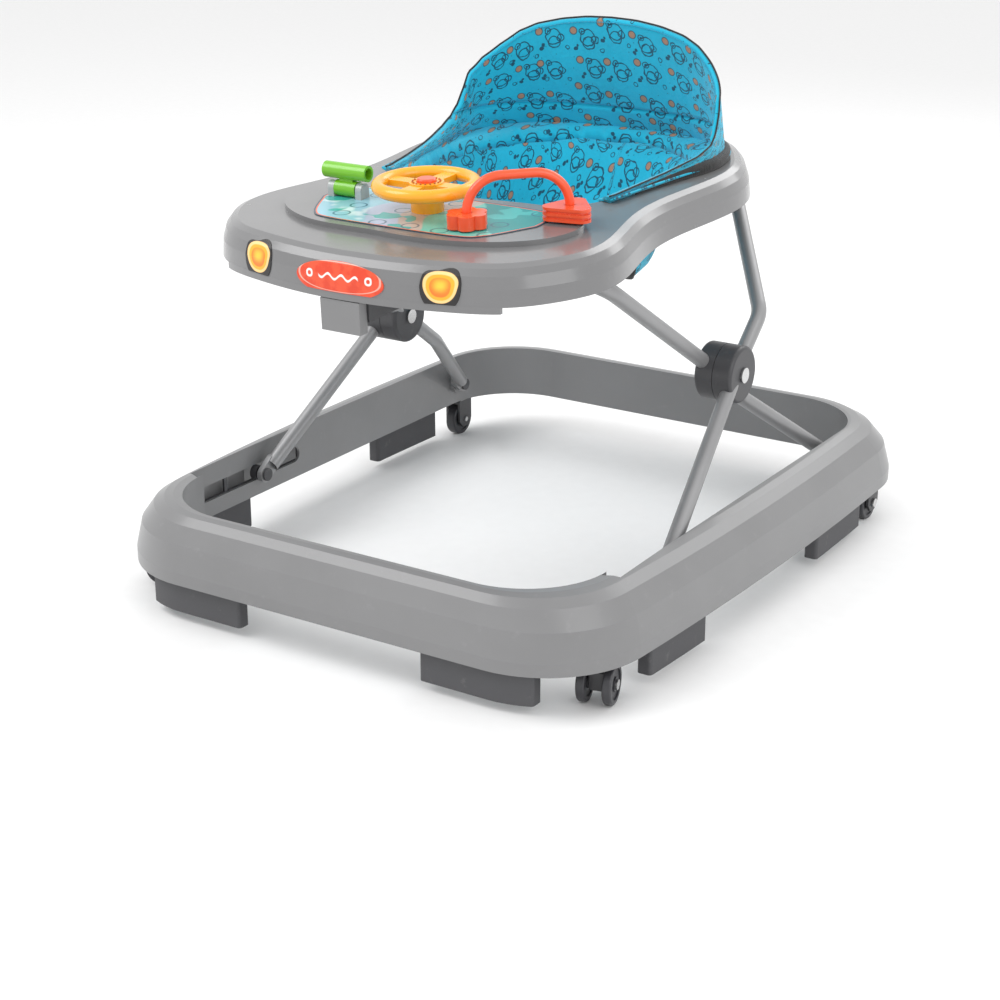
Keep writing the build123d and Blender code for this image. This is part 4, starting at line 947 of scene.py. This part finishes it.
def bars_along(name, points, spacing, length, radius, material, body="tray", closed=False):
    """Row of small bars along a line of points, as one finished mesh."""
    line = bpy.data.meshes.new(name + "_line")
    edges = [(i, i + 1) for i in range(len(points) - 1)] + ([(len(points) - 1, 0)] if closed else [])
    line.from_pydata([tuple(p) for p in points], edges, [])
    carrier = bpy.data.objects.new(name + "_line", line)
    bpy.context.scene.collection.objects.link(carrier)
    modifier = carrier.modifiers.new("bars", "NODES")
    modifier.node_group = BARS
    values = {"Spacing": spacing, "Length": length, "Radius": radius, "Material": material}
    for item in BARS.interface.items_tree:
        if item.in_out == "INPUT" and item.name in values:
            modifier[item.identifier] = values[item.name]
    bpy.context.view_layer.update()
    evaluated = carrier.evaluated_get(bpy.context.evaluated_depsgraph_get())
    mesh = bpy.data.meshes.new_from_object(evaluated)
    bpy.data.objects.remove(carrier)
    bpy.data.meshes.remove(line)
    mesh.name = name
    obj = bpy.data.objects.new(name, mesh)
    bpy.context.scene.collection.objects.link(obj)
    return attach(obj, body)


THREAD = plain_cloth("seam_thread", (0.02, 0.34, 0.52), 2600.0)
DOT_PAINT = plastic("dot_paint", (0.40, 0.10, 0.01), 0.4)
WHEEL_HUB_TOP = 0.0702
WHEEL_Y = -0.184


def seat_stitches():
    """Stitch rows along the seam low across the back and just inside its piping."""
    columns = back_columns()
    seam = []
    hem = []
    for u, (foot, head) in enumerate(columns):
        across = (u / BACK_COLUMNS - 0.5) * 2
        share = back_top_share(foot, head)
        inward = Vector((0, 0.05, foot.z)) - foot
        inward = Vector((inward.x, inward.y, 0)).normalized()
        if abs(across) < 0.58:
            height = SEAM_HEIGHT + 0.02 - 0.06 * across * across
            seam.append(foot.lerp(head, height) + inward * (PANEL + 0.0004))
        if share > 0.3:
            hem.append(foot.lerp(head, share * 0.965) + inward * (EDGE + 0.0026))
    for name, points in (("back_seam_stitches", seam), ("back_hem_stitches", hem)):
        stitches = bars_along(name, points, 0.0042, 0.0029, 0.0005, THREAD)


def wheel_dots():
    """Ring of printed dots round the horn button."""
    turn = [2 * math.pi * k / 18 for k in range(18)]
    ring = [tray_point(0.0135 * math.cos(a), WHEEL_Y + 0.0135 * math.sin(a), WHEEL_HUB_TOP) for a in turn]
    bm = bmesh.new()
    for spot in ring:
        made = bmesh.ops.create_uvsphere(bm, u_segments=8, v_segments=6, radius=0.0011)
        for vertex in made["verts"]:
            vertex.co += spot
    dots = to_object("wheel_dots", bm, DOT_PAINT, "steering_wheel")


seat_stitches()
wheel_dots()

# ---------------------------------------------------------------- camera, light and floor
scene = bpy.context.scene
CAMERA_PLACE = Vector((1.1081, -1.7825, 0.8444))
CAMERA_AIM = Vector((0.0, -0.0581, 0.0702))
camera_data = bpy.data.cameras.new("camera")
camera_data.lens = 74.2
camera_data.sensor_width = 36.0
camera = bpy.data.objects.new("camera", camera_data)
scene.collection.objects.link(camera)
camera.location = CAMERA_PLACE
camera.rotation_euler = (CAMERA_AIM - CAMERA_PLACE).to_track_quat("-Z", "Y").to_euler()
scene.camera = camera

world = bpy.data.worlds.new("studio")
world.use_nodes = True
world.node_tree.nodes["Background"].inputs[0].default_value = (1, 1, 1, 1)
world.node_tree.nodes["Background"].inputs[1].default_value = 1.0
scene.world = world
scene.view_settings.view_transform = "Standard"


def area_light(name, place, aim, size, power):
    """Soft square lamp at a place, turned to its aim."""
    data = bpy.data.lights.new(name, "AREA")
    data.size = size
    data.energy = power
    lamp = bpy.data.objects.new(name, data)
    scene.collection.objects.link(lamp)
    lamp.location = place
    lamp.rotation_euler = (Vector(aim) - Vector(place)).to_track_quat("-Z", "Y").to_euler()


area_light("key", (-1.4, -1.3, 2.2), (0, 0, 0.25), 1.6, 34)
area_light("fill", (1.9, -0.6, 1.3), (0, 0, 0.25), 1.4, 12)
area_light("back", (0.3, 1.9, 1.7), (0, 0, 0.3), 1.4, 16)

floor_mesh = bpy.data.meshes.new("floor")
floor_mesh.from_pydata([(-6, -6, 0), (6, -6, 0), (6, 6, 0), (-6, 6, 0)], [], [(0, 1, 2, 3)])
floor = bpy.data.objects.new("floor", floor_mesh)
scene.collection.objects.link(floor)
floor_paint, floor_tree, floor_shader = new_material("floor_paint")
speckle = floor_tree.noise(floor_tree.add("ShaderNodeTexCoord").outputs["Object"], 60.0)
floor_colour = floor_tree.mix(speckle, (0.84, 0.84, 0.84, 1), (0.88, 0.88, 0.88, 1))
floor_tree.link(floor_colour, floor_shader.inputs["Base Color"])
floor_shader.inputs["Roughness"].default_value = 0.7
paint(floor, floor_paint)
